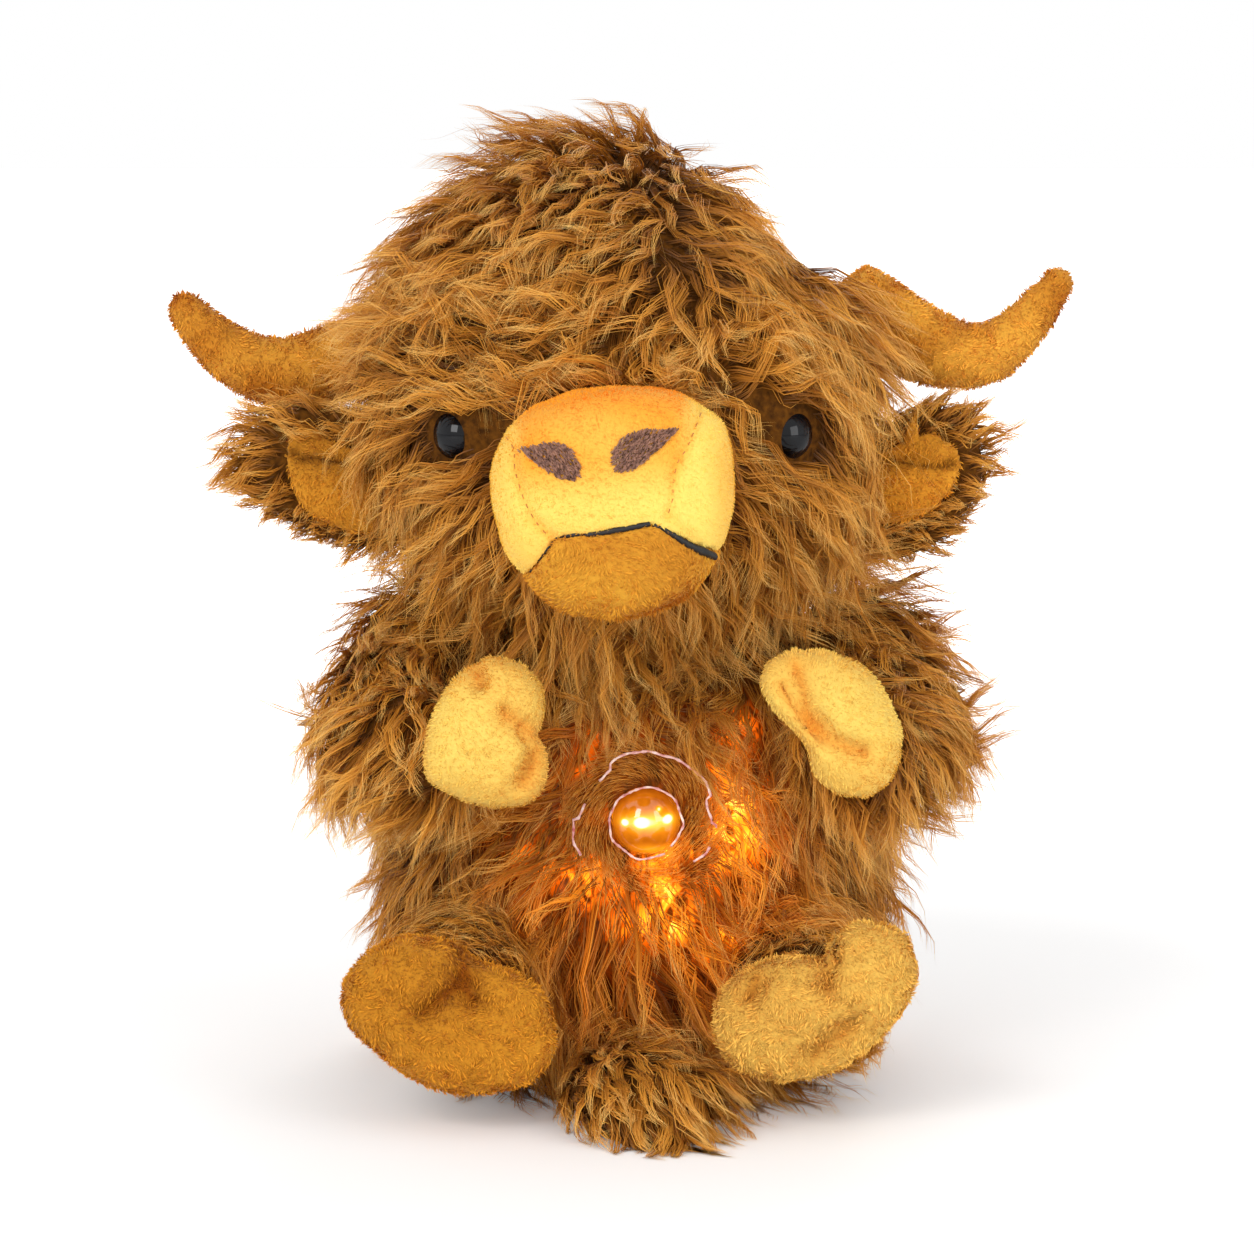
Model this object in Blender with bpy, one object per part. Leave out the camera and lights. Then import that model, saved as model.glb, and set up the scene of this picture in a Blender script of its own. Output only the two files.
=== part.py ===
"""A seated shaggy highland cow, a stuffed toy with a battery night light in its tummy.

The toy faces -Y, +X is the right of someone who looks at its face, and +Z is up.
It sits on the floor at z = 0. All sizes are in metres.
Soft pieces are solids of their outer form, to the middle of the pile.
"""

import math

import bmesh
import bpy
from mathutils import Matrix, Vector

# Clearances that all pieces share
GAP = 0.0003
OVERRUN = 0.002
SEAT_CUT = 0.0005
FOLD_ROOM = 0.003

# Torso
TORSO_WIDTH = 0.160
TORSO_DEPTH = 0.120
TORSO_HEIGHT = 0.158
TORSO_BACK = 0.056

# Head, as its centre over the seat and its overall sizes
HEAD_WIDTH = 0.154
HEAD_DEPTH = 0.150
HEAD_HEIGHT = 0.150
HEAD_CENTRE = Vector((-0.004, -0.015, 0.209))

# Muzzle
MUZZLE_WIDTH = 0.068
MUZZLE_HEIGHT = 0.065
MUZZLE_DEPTH = 0.060
MUZZLE_FRONT = 0.127
MUZZLE_DROP = 0.026
MUZZLE_ASIDE = 0.0033
MUZZLE_SQUARENESS = 0.06

# Horns
HORN_SPAN = 0.078
HORN_DIAMETER = 0.0235
HORN_SET_BACK = 0.013

# Eyes
EYE_DIAMETER = 0.016
EYE_CROWN = 0.0065
EYE_EDGE = 0.0012
EYE_STEM_DIAMETER = 0.0045
EYE_STEM_LENGTH = 0.014
EYE_SPACING = 0.0956
EYE_SET_FORWARD = 0.047
EYE_DROP = 0.0104
EYE_TURN = math.radians(48)
WASHER_DIAMETER = 0.015
WASHER_THICKNESS = 0.0016
WASHER_DEPTH = 0.007

# Ears
EAR_LENGTH = 0.048
EAR_CENTRE_SHARE = 0.46
EAR_HEIGHT = 0.046
EAR_THICKNESS = 0.012
EAR_ROOT_DIAMETER = 0.018
EAR_ROOT_HEIGHT = 0.026
EAR_SET_IN = 0.003
EAR_SET_BACK = 0.007
EAR_DROP = 0.030
LINING_LENGTH = 0.031
LINING_HEIGHT = 0.028
LINING_THICKNESS = 0.0045
LINING_SINK = 0.0022

# Arms and hands
SHOULDER_DIAMETER = 0.047
SHOULDER_SPACING = 0.132
SHOULDER_HEIGHT = 0.126
SHOULDER_FORWARD = 0.010
ARM_REACH = 0.072
ARM_DIAMETER = 0.046
HAND_THICKNESS = 0.028
HAND_LEFT_WIDTH = 0.0350
HAND_LEFT_HEIGHT = 0.0436
HAND_RIGHT_WIDTH = 0.050
HAND_RIGHT_HEIGHT = 0.028
HAND_RIGHT_TILT = math.radians(45)
HAND_LEFT_AT = Vector((0.0238, -0.086, -0.011))
HAND_RIGHT_AT = Vector((-0.0097, -0.086, -0.008))

# Legs and feet
HIP_DIAMETER = 0.057
HIP_SPACING = 0.096
HIP_HEIGHT = 0.0315
HIP_FORWARD = 0.038
LEG_REACH = 0.060
LEG_DIAMETER = 0.052
FOOT_THICKNESS = 0.031
FOOT_LEFT_WIDTH = 0.060
FOOT_LEFT_HEIGHT = 0.046
FOOT_RIGHT_WIDTH = 0.058
FOOT_RIGHT_HEIGHT = 0.045
FOOT_LEFT_AT = Vector((-0.0068, -0.069, 0.0035))
FOOT_RIGHT_AT = Vector((0.0045, -0.069, 0.0062))

# Tail
TAIL_REACH = 0.184
TAIL_STRAP_WIDTH = 0.018
TAIL_STRAP_THICKNESS = 0.0064
TAIL_ROOT_HEIGHT = 0.024

# Light module, about an axis that points out of the tummy, from the plane where its shells meet
MODULE_DIAMETER = 0.062
MODULE_WALL = 0.0018
MODULE_HEIGHT = 0.082
MODULE_ASIDE = 0.0028
FRONT_SHELL_DEPTH = 0.014
COLLAR_DIAMETER = 0.029
COLLAR_HEIGHT = 0.0045
WELL_DIAMETER = 0.038
WELL_FLOOR = 0.056
DOME_DIAMETER = 0.020
DOME_CROWN = 0.0085
DOME_SKIRT = 0.0025
DOME_WALL = 0.0012
FLANGE_DIAMETER = 0.0246
FLANGE_THICKNESS = 0.0012
DOME_TRAVEL = 0.0008
STEM_DIAMETER = 0.0040
SPRING_WIRE = 0.0006
SPRING_DIAMETER = 0.0218
SPRING_TURNS = 3.25
SHELF_THICKNESS = 0.0012
SHELF_BORE = 0.0190
BOARD_DIAMETER = 0.0465
BOARD_THICKNESS = 0.0016
BOARD_HEIGHT = 0.0018
BOARD_POST_DIAMETER = 0.0032
BOARD_POST_RADIUS = 0.0215
SWITCH_WIDTH = 0.006
SWITCH_HEIGHT = 0.0043
PLUNGER_DIAMETER = 0.0034
PLUNGER_LENGTH = 0.0030
PLUNGER_STANDS = 0.0015
LED_DIAMETER = 0.0030
LED_HEIGHT = 0.0032
LED_EDGE_SHARE = 0.3
LEDS_IN_DOME = 4
LEDS_IN_DOME_RADIUS = 0.0066
LEDS_IN_RING = 8
LEDS_IN_RING_RADIUS = 0.0170
CELL_DIAMETER = 0.0105
CELL_LENGTH = 0.0445
CELL_NUB_DIAMETER = 0.0038
CELL_NUB_HEIGHT = 0.0008
CELL_COUNT = 3
CELL_PITCH = 0.0112
BAY_FLOOR = 0.0088
BAY_END_WALL = 0.0015
CONTACT_WIDTH = 0.0066
CONTACT_THICKNESS = 0.0006
DOOR_WIDTH = 0.0460
DOOR_HEIGHT = 0.0345
DOOR_CORNER = 0.0040
DOOR_TAB_WIDTH = 0.0090
DOOR_TAB_REACH = 0.0230
DOOR_SCREW_AT = 0.0202
DOOR_SCREW_LENGTH = 0.0080
SCREW_DIAMETER = 0.0024
SCREW_HEAD_DIAMETER = 0.0046
SCREW_HEAD_HEIGHT = 0.0016
HOUSING_SCREW_LENGTH = 0.0270
HOUSING_SCREW_RADIUS = 0.0270
HOUSING_SCREW_ANGLE = math.radians(60)
BOSS_DIAMETER = 0.0052
WIRE_DIAMETER = 0.0012
WIRE_BEND = 0.0040

# Zip in the back, about the middle of its teeth, where it lies on the back's flat bed
ZIP_OPENING = 0.092
ZIP_START = 0.034
ZIP_SLOT_WIDTH = 0.0095
ZIP_BED = 0.053
TAPE_WIDTH = 0.0110
TAPE_END = 0.006
TAPE_THICKNESS = 0.0006
TEETH_PITCH = 0.0032
TOOTH_HEIGHT = 0.0013
TOOTH_OVERLAP = 0.0006
TEETH_BEAD = 0.0010
TEETH_SPREAD = 0.0016
TEETH_THICKNESS = 0.0022
SLIDER_LENGTH = 0.0100
SLIDER_WIDTH = 0.0082
SLIDER_PLATE = 0.0010
SLIDER_LIP = 0.0008
SLIDER_WEDGE_LENGTH = 0.0026
SLIDER_WEDGE_WIDTH = 0.0020
BRIDGE_LENGTH = 0.0084
BRIDGE_WIDTH = 0.0016
BRIDGE_BAR = 0.0010
BRIDGE_ROOM = 0.0022
PULL_WIDTH = 0.0062
PULL_LENGTH = 0.0240
PULL_THICKNESS = 0.0011
PULL_HOLE_WIDTH = 0.0030
PULL_HOLE_LENGTH = 0.0066
STOP_WIDTH = 0.0060
STOP_HEIGHT = 0.0024
STOP_THICKNESS = 0.0012

# How finely round forms are cut
FORM_SIDES = 20
LIMB_SIDES = 12
TAIL_SIDES = 10
PAD_SIDES = 12
FOOT_SIDES = 16
FINE_SIDES = 20
EYE_SIDES = 14
EYE_STEPS = 6
DOME_STEPS = 5
LED_SIDES = 6
SPRING_POINTS = 8
SMALL_SIDES = 8

# Each row is (height, half width, half depth, lean back, lean aside), shares of the torso's
# height, width, depth, depth and width
TORSO_SHARES = (
    (0.000, 0.330, 0.310, 0.000, 0.0),
    (0.022, 0.420, 0.400, 0.000, 0.0),
    (0.120, 0.475, 0.470, 0.000, 0.0),
    (0.300, 0.500, 0.500, 0.000, 0.0),
    (0.500, 0.480, 0.490, 0.008, 0.0),
    (0.680, 0.435, 0.465, 0.027, 0.0),
    (0.820, 0.370, 0.400, 0.090, 0.0),
    (0.930, 0.260, 0.270, 0.090, 0.0),
    (0.985, 0.130, 0.140, 0.080, 0.0),
)
# Each row is (height, half width, half depth, lean back, lean aside), shares of the head's
# height, width, depth, depth and width
HEAD_SHARES = (
    (0.015, 0.130, 0.130, 0.0, 0.0),
    (0.070, 0.270, 0.265, 0.0, 0.0),
    (0.180, 0.405, 0.390, 0.0, 0.0),
    (0.330, 0.485, 0.475, 0.0, 0.0),
    (0.500, 0.500, 0.500, 0.0, 0.0),
    (0.660, 0.470, 0.480, 0.0, -0.012),
    (0.810, 0.350, 0.400, 0.0, -0.060),
    (0.925, 0.225, 0.255, 0.0, -0.040),
    (0.983, 0.115, 0.120, 0.0, -0.025),
)
# Each row is (depth from the face, half width, half height), shares of the muzzle's sizes
MUZZLE_SHARES = (
    (0.020, 0.380, 0.380),
    (0.300, 0.465, 0.470),
    (0.560, 0.500, 0.500),
    (0.760, 0.480, 0.480),
    (0.900, 0.400, 0.400),
    (0.972, 0.250, 0.250),
)
# Corners of the lower lip seen from the front, shares of the muzzle's half width and half height
LIP_SHARES = (
    (-1.30, -1.45),
    (-0.45, -0.25),
    (0.34, -0.12),
    (1.40, -0.72),
    (1.40, -1.45),
)
# Each row is (outwards, upwards, thickness), shares of the horn's span and diameter
HORN_LEFT_SHARES = (
    (0.10, 0.03, 0.50),
    (0.36, -0.03, 0.51),
    (0.56, -0.07, 0.44),
    (0.74, -0.01, 0.38),
    (0.87, 0.10, 0.31),
    (0.96, 0.21, 0.21),
)
HORN_RIGHT_SHARES = (
    (0.10, -0.02, 0.50),
    (0.30, -0.15, 0.53),
    (0.50, -0.25, 0.47),
    (0.68, -0.24, 0.38),
    (0.83, -0.10, 0.30),
    (0.95, 0.05, 0.20),
)
HORN_RISE_LEFT_SHARE = 0.10
HORN_RISE_RIGHT_SHARE = 0.37
HORN_ROOT_SHARE = 0.78
HORN_TIP_SHARE = 0.8
# Each row is (outwards, forwards, downwards, thickness), shares of the arm's reach and diameter
ARM_SHARES = (
    (0.03, 0.04, 0.02, 0.38),
    (0.10, 0.26, 0.14, 0.49),
    (0.12, 0.50, 0.26, 0.50),
    (0.02, 0.78, 0.27, 0.46),
    (-0.10, 0.98, 0.22, 0.38),
)
# Each row is (outwards, forwards, thickness), shares of the leg's reach and diameter
LEG_SHARES = (
    (0.00, 0.00, 0.38),
    (0.02, 0.24, 0.49),
    (0.04, 0.50, 0.49),
    (0.06, 0.80, 0.46),
    (0.08, 0.95, 0.34),
)
# Each row is (from back to front, outline), shares of a pad's thickness and its outline
PAD_SHARES = (
    (0.040, 0.58),
    (0.240, 0.92),
    (0.540, 1.00),
    (0.800, 0.90),
    (0.955, 0.58),
)
# Outlines of the pads, each a row of radii round the pad from +X, shares of its half sizes
HAND_LEFT_SHARES = (0.86, 1.00, 1.02, 1.00, 0.96, 1.00, 1.06, 1.04, 0.98, 1.00, 0.96, 0.90)
HAND_RIGHT_SHARES = (1.00, 1.00, 1.02, 0.86, 1.02, 1.00, 0.98, 1.00, 1.02, 0.94, 1.02, 1.00)
FOOT_LEFT_SHARES = (1.00, 1.00, 0.94, 0.90, 1.02, 1.02, 0.98, 0.98, 1.00, 1.00, 1.00, 1.00)
FOOT_RIGHT_SHARES = (0.96, 1.12, 1.16, 0.84, 0.80, 0.92, 1.00, 1.06, 1.08, 1.00, 0.92, 0.92)
EAR_SHARES = (1.00, 0.98, 0.98, 1.00, 0.94, 0.84, 0.86, 0.88, 0.98, 1.06, 1.04, 1.00)
LINING_SHARES = (0.94, 1.00, 0.92, 0.96, 1.00, 1.00, 0.98, 1.00, 1.02, 1.02, 1.02, 1.00)
# Each row is (forwards from the root, height, half width, half thickness), shares of the
# tail's reach, of its root's height, and of the strap's width and thickness
TAIL_SHARES = (
    (0.000, 1.08, 0.30, 0.60),
    (0.018, 0.66, 0.42, 0.62),
    (0.060, 0.14, 0.50, 0.56),
    (0.140, 0.1125, 0.50, 0.50),
    (0.340, 0.1125, 0.50, 0.50),
    (0.520, 0.1125, 0.52, 0.50),
    (0.640, 0.26, 0.80, 1.05),
    (0.760, 0.42, 1.12, 1.65),
    (0.870, 0.46, 1.22, 1.80),
    (0.950, 0.34, 0.90, 1.35),
    (0.988, 0.16, 0.42, 0.60),
)


def material(name, colour, roughness=0.9, metallic=0.0):
    made = bpy.data.materials.new(name)
    made.use_nodes = True
    shader = made.node_tree.nodes["Principled BSDF"]
    shader.inputs["Base Color"].default_value = (*colour, 1)
    shader.inputs["Roughness"].default_value = roughness
    shader.inputs["Metallic"].default_value = metallic
    made.diffuse_color = (*colour, 1)
    return made


def materials():
    return {
        "pile": material("long_pile", (0.42, 0.21, 0.055)),
        "velboa": material("velboa", (0.90, 0.58, 0.18)),
        "pale_velboa": material("pale_velboa", (0.93, 0.66, 0.27)),
        "eye": material("eye_plastic", (0.01, 0.01, 0.012), 0.08),
        "washer": material("washer_plastic", (0.8, 0.8, 0.78), 0.5),
        "milky": material("milky_plastic", (0.88, 0.87, 0.82), 0.35),
        "amber": material("amber_plastic", (1.0, 0.50, 0.08), 0.12),
        "steel": material("steel", (0.62, 0.62, 0.63), 0.3, 1.0),
        "black": material("black_plastic", (0.02, 0.02, 0.02), 0.5),
        "board": material("board", (0.03, 0.22, 0.08), 0.45),
        "led": material("led", (1.0, 0.72, 0.30), 0.2),
        "cell": material("cell_sleeve", (0.10, 0.10, 0.11), 0.35),
        "wire": material("wire", (0.55, 0.03, 0.02), 0.5),
        "tape": material("zip_tape", (0.20, 0.10, 0.03)),
        "teeth": material("zip_teeth", (0.16, 0.08, 0.025), 0.4),
    }


def clear_scene():
    for item in list(bpy.data.objects):
        bpy.data.objects.remove(item, do_unlink=True)


def pivot(name, place, parent=None):
    """An empty at a place under its parent."""
    empty = bpy.data.objects.new(name, None)
    empty.empty_display_size = FOLD_ROOM
    empty.location = place
    empty.parent = parent
    bpy.context.collection.objects.link(empty)
    return empty


def piece(name, mesh, parent, finish=None, place=(0, 0, 0)):
    """An object of this mesh, hung from its parent."""
    made = bpy.data.objects.new(name, mesh)
    made.location = place
    made.parent = parent
    bpy.context.collection.objects.link(made)
    if finish:
        mesh.materials.append(finish)
    else:
        made.hide_render = True
        made.display_type = "WIRE"
    return made


def finished(shape, name, smooth=True):
    """The mesh of a bmesh, its faces pointing out."""
    bmesh.ops.recalc_face_normals(shape, faces=shape.faces)
    mesh = bpy.data.meshes.new(name)
    shape.to_mesh(mesh)
    shape.free()
    if smooth:
        mesh.shade_smooth()
        mesh.set_sharp_from_angle(angle=math.radians(40))
    return mesh


def boolean(target, tool, operation="DIFFERENCE"):
    modifier = target.modifiers.new(operation.lower(), "BOOLEAN")
    modifier.operation = operation
    modifier.solver = "EXACT"
    modifier.object = tool


def smooth_rows(rows, steps):
    """Rows on a smooth curve through the given rows, with steps from each to the next."""
    last = len(rows) - 1
    smooth = []
    for start in range(last):
        before = rows[max(start - 1, 0)]
        after = rows[min(start + 2, last)]
        for step in range(steps):
            t = step / steps
            smooth.append(
                tuple(
                    ((2 * b) + (c - a) * t + (2 * a - 5 * b + 4 * c - d) * t**2
                     + (3 * b - a - 3 * c + d) * t**3) / 2
                    for a, b, c, d in zip(before, rows[start], rows[start + 1], after)
                )
            )
    smooth.append(tuple(rows[last]))
    return smooth


def smooth_ring(radius_shares, count):
    """Unit outline points, with the given radii smoothed round the ring."""
    total = len(radius_shares)
    points = []
    for index in range(count):
        along = index * total / count
        start = int(along)
        t = along - start
        a, b, c, d = (radius_shares[(start + shift) % total] for shift in (-1, 0, 1, 2))
        radius = (2 * b + (c - a) * t + (2 * a - 5 * b + 4 * c - d) * t**2
                  + (3 * b - a - 3 * c + d) * t**3) / 2
        angle = 2 * math.pi * index / count
        points.append((radius * math.cos(angle), radius * math.sin(angle)))
    return points


def round_ring(count, squareness=0.0):
    """Unit outline points of an ellipse, or of a squarer one."""
    points = []
    for index in range(count):
        angle = 2 * math.pi * index / count
        cosine = math.cos(angle)
        sine = math.sin(angle)
        power = 1 - squareness
        points.append(
            (math.copysign(abs(cosine) ** power, cosine), math.copysign(abs(sine) ** power, sine))
        )
    return points


def lofted(name, start, rings, end):
    """A closed form through rings of points, with a pole at each end."""
    shape = bmesh.new()
    first = shape.verts.new(start)
    loops = [[shape.verts.new(point) for point in ring] for ring in rings]
    last = shape.verts.new(end)
    count = len(loops[0])
    for index in range(count):
        follow = (index + 1) % count
        shape.faces.new((first, loops[0][follow], loops[0][index]))
        shape.faces.new((last, loops[-1][index], loops[-1][follow]))
        for below, above in zip(loops, loops[1:]):
            shape.faces.new((below[index], below[follow], above[follow], above[index]))
    return finished(shape, name)


def along_path(name, stations, across, outline):
    """A form swept along stations of (centre, half width, half thickness), poles at its ends."""
    rings = []
    for index in range(1, len(stations) - 1):
        centre, half_width, half_thickness = stations[index]
        heading = (stations[index + 1][0] - stations[index - 1][0]).normalized()
        wide = (across - heading * across.dot(heading)).normalized()
        thick = heading.cross(wide)
        rings.append(
            [centre + wide * (x * half_width) + thick * (y * half_thickness) for x, y in outline]
        )
    return lofted(name, stations[0][0], rings, stations[-1][0])


def grown(mesh, name, distance):
    """A copy of a mesh with its surface moved outwards by a distance."""
    shape = bmesh.new()
    shape.from_mesh(mesh)
    shape.normal_update()
    moves = [vert.normal * (distance * vert.calc_shell_factor()) for vert in shape.verts]
    for vert, move in zip(shape.verts, moves):
        vert.co += move
    return finished(shape, name)


def cut_flat(mesh, height):
    """Cuts a mesh off flat below a height."""
    shape = bmesh.new()
    shape.from_mesh(mesh)
    everything = shape.verts[:] + shape.edges[:] + shape.faces[:]
    bmesh.ops.bisect_plane(
        shape, geom=everything, plane_co=(0, 0, height), plane_no=(0, 0, 1), clear_inner=True
    )
    rim = [edge for edge in shape.edges if edge.is_boundary]
    bmesh.ops.edgeloop_fill(shape, edges=rim)
    bmesh.ops.recalc_face_normals(shape, faces=shape.faces)
    shape.to_mesh(mesh)
    shape.free()


def turned(name, profile, sides=FINE_SIDES):
    """A round form about Z from a profile of (radius, height) that starts and ends on the axis."""
    rings = [
        [
            (radius * math.cos(angle), radius * math.sin(angle), height)
            for angle in (2 * math.pi * index / sides for index in range(sides))
        ]
        for radius, height in profile[1:-1]
    ]
    return lofted(name, (0, 0, profile[0][1]), rings, (0, 0, profile[-1][1]))


def ring_turned(name, profile, sides=FINE_SIDES):
    """A round form about Z from a closed profile of (radius, height) that stays off the axis."""
    shape = bmesh.new()
    loops = []
    for index in range(sides):
        angle = 2 * math.pi * index / sides
        loops.append(
            [shape.verts.new((r * math.cos(angle), r * math.sin(angle), h)) for r, h in profile]
        )
    for index in range(sides):
        near = loops[index]
        far = loops[(index + 1) % sides]
        for corner in range(len(profile)):
            follow = (corner + 1) % len(profile)
            shape.faces.new((near[corner], near[follow], far[follow], far[corner]))
    return finished(shape, name)


def extruded(name, outline, low, high, upright=False):
    """A prism of an outline of (x, y) from low to high along Z, or of (x, z) along Y."""
    shape = bmesh.new()
    levels = []
    for level in (low, high):
        levels.append(
            [shape.verts.new((a, level, b) if upright else (a, b, level)) for a, b in outline]
        )
    shape.faces.new(levels[0])
    shape.faces.new(levels[1])
    for index in range(len(outline)):
        follow = (index + 1) % len(outline)
        shape.faces.new((levels[0][index], levels[0][follow], levels[1][follow], levels[1][index]))
    return finished(shape, name, smooth=False)


def rectangle(width, height, x=0.0, y=0.0):
    """Corners of a rectangle about (x, y)."""
    return [
        (x - width / 2, y - height / 2),
        (x + width / 2, y - height / 2),
        (x + width / 2, y + height / 2),
        (x - width / 2, y + height / 2),
    ]


def rounded_rectangle(width, height, radius, x=0.0, y=0.0, arc=3):
    """Outline of a rectangle with round corners about (x, y)."""
    outline = []
    for corner, (right, up) in enumerate(((1, 1), (-1, 1), (-1, -1), (1, -1))):
        for step in range(arc + 1):
            angle = math.pi / 2 * (corner + step / arc)
            outline.append(
                (
                    x + right * (width / 2 - radius) + radius * math.cos(angle),
                    y + up * (height / 2 - radius) + radius * math.sin(angle),
                )
            )
    return outline


def joined(name, meshes):
    """One mesh that holds several separate solids."""
    shape = bmesh.new()
    for mesh in meshes:
        shape.from_mesh(mesh)
        bpy.data.meshes.remove(mesh)
    mesh = bpy.data.meshes.new(name)
    shape.to_mesh(mesh)
    shape.free()
    return mesh


def moved(mesh, matrix):
    mesh.transform(matrix)
    return mesh


def cleared(radius, sides):
    """Corner radius of a faceted hole whose flats clear a round of this radius that turns in it."""
    return (radius + GAP) / math.cos(math.pi / sides)


def ball(name, radius):
    steps = LIMB_SIDES // 2
    profile = [
        (radius * math.sin(math.pi * step / steps), -radius * math.cos(math.pi * step / steps))
        for step in range(steps + 1)
    ]
    return turned(name, profile, LIMB_SIDES)


def barrel(name, radius, height):
    """A round-edged drum about Z."""
    edge = EAR_ROOT_DIAMETER / 6
    return turned(
        name,
        [
            (0, -height / 2),
            (radius - edge, -height / 2),
            (radius, edge - height / 2),
            (radius, height / 2 - edge),
            (radius - edge, height / 2),
            (0, height / 2),
        ],
        LIMB_SIDES,
    )


def upright_form(name, width, depth, height, rows):
    """A standing form about Z, each ring shifted back by its lean."""
    rings = []
    for rise, half_width, half_depth, lean, aside in smooth_rows(rows, 2):
        rings.append(
            [
                (width * (aside + x * half_width), depth * (lean + y * half_depth), height * rise)
                for x, y in round_ring(FORM_SIDES)
            ]
        )
    low, high = rows[0], rows[-1]
    return lofted(
        name,
        (width * low[4], depth * low[3], 0),
        rings,
        (width * high[4], depth * high[3], height),
    )


def pad_form(name, width, height, thickness, radius_shares, sides=PAD_SIDES):
    """A stuffed pad in the XZ plane about its centre, its front towards -Y."""
    outline = smooth_ring(radius_shares, sides)
    rings = []
    for depth, spread in smooth_rows(PAD_SHARES, 2):
        y = thickness * (0.5 - depth)
        rings.append([(x * width / 2 * spread, y, z * height / 2 * spread) for x, z in outline])
    return lofted(name, (0, thickness / 2, 0), rings, (0, -thickness / 2, 0))


def make_torso(toy, finish):
    mesh = upright_form(
        "torso", TORSO_WIDTH, TORSO_DEPTH, TORSO_HEIGHT + SEAT_CUT, TORSO_SHARES
    )
    mesh.transform(Matrix.Translation((0, TORSO_BACK - TORSO_DEPTH / 2, -SEAT_CUT)))
    cutter = piece("torso_room", grown(mesh, "torso_room", GAP), toy)
    cut_flat(mesh, 0)
    return piece("torso", mesh, toy, finish["pile"]), cutter


def make_head(toy, finish, torso_room):
    place = pivot("head_middle", HEAD_CENTRE, toy)
    mesh = upright_form("head", HEAD_WIDTH, HEAD_DEPTH, HEAD_HEIGHT, HEAD_SHARES)
    mesh.transform(Matrix.Translation((0, 0, -HEAD_HEIGHT / 2)))
    cutter = piece("head_room", grown(mesh, "head_room", GAP), place)
    head = piece("head", mesh, place, finish["pile"])
    boolean(head, torso_room)
    return head, cutter, place


def make_muzzle(place, finish, head_room):
    """The nose pad in two pieces, which meet along the mouth."""
    sections = smooth_rows(MUZZLE_SHARES, 2)
    middle = MUZZLE_DEPTH - MUZZLE_FRONT - HEAD_CENTRE.y
    base = Matrix.Translation((-MUZZLE_ASIDE, middle, -MUZZLE_DROP))

    def pad(name):
        rings = []
        for depth, half_width, half_height in sections:
            rings.append(
                [
                    (x * MUZZLE_WIDTH * half_width, -depth * MUZZLE_DEPTH,
                     z * MUZZLE_HEIGHT * half_height)
                    for x, z in round_ring(FORM_SIDES, MUZZLE_SQUARENESS)
                ]
            )
        return moved(lofted(name, (0, 0, 0), rings, (0, -MUZZLE_DEPTH, 0)), base)

    def lip(name, spare):
        outline = [
            (x * MUZZLE_WIDTH / 2, z * MUZZLE_HEIGHT / 2 + (spare if z > -1 else 0))
            for x, z in LIP_SHARES
        ]
        prism = extruded(name, outline, -MUZZLE_DEPTH - OVERRUN, OVERRUN, upright=True)
        return piece(name, moved(prism, base), place)

    upper = piece("muzzle_upper", pad("muzzle_upper"), place, finish["pale_velboa"])
    lower = piece("muzzle_lower", pad("muzzle_lower"), place, finish["velboa"])
    boolean(upper, lip("lip_cut", GAP))
    boolean(lower, lip("lip_keep", 0), "INTERSECT")
    for part in (upper, lower):
        boolean(part, head_room)


def make_horn(name, place, side, rows, rise_share, finish, head_room):
    """A curved stuffed horn that starts inside the head."""
    root = Vector(
        (side * HEAD_WIDTH / 2 * HORN_ROOT_SHARE, HORN_SET_BACK, HEAD_HEIGHT / 2 * rise_share)
    )
    stations = []
    for out, up, thickness in smooth_rows(rows, 2):
        centre = root + Vector((side * out * HORN_SPAN, 0, up * HORN_SPAN))
        stations.append((centre, thickness * HORN_DIAMETER, thickness * HORN_DIAMETER))
    inner = stations[0][0] - (stations[1][0] - stations[0][0]) / 2
    heading = (stations[-1][0] - stations[-2][0]).normalized()
    outer = stations[-1][0] + heading * stations[-1][1] * HORN_TIP_SHARE
    stations = [(inner, 0, 0)] + stations + [(outer, 0, 0)]
    mesh = along_path(name, stations, Vector((0, 1, 0)), round_ring(LIMB_SIDES))
    boolean(piece(name, mesh, place, finish["velboa"]), head_room)


def eye_profile(grow, cover):
    """Half section of an eye and its stem, or of the room that it needs."""
    radius = EYE_DIAMETER / 2 + grow
    stem = EYE_STEM_DIAMETER / 2 + grow
    profile = [(0, -EYE_STEM_LENGTH - grow), (stem, -EYE_STEM_LENGTH - grow)]
    if cover:
        washer = WASHER_DIAMETER / 2 + grow
        profile += [
            (stem, -WASHER_DEPTH - WASHER_THICKNESS - grow),
            (washer, -WASHER_DEPTH - WASHER_THICKNESS - grow),
            (washer, grow - WASHER_DEPTH),
            (stem, grow - WASHER_DEPTH),
        ]
    profile += [(stem, -grow), (radius, -grow)]
    if cover:
        return profile + [(radius, EYE_DIAMETER), (0, EYE_DIAMETER)]
    for step in range(EYE_STEPS):
        angle = math.pi / 2 * step / EYE_STEPS
        profile.append((radius * math.cos(angle), EYE_EDGE + EYE_CROWN * math.sin(angle)))
    return profile + [(0, EYE_EDGE + EYE_CROWN)]


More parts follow.
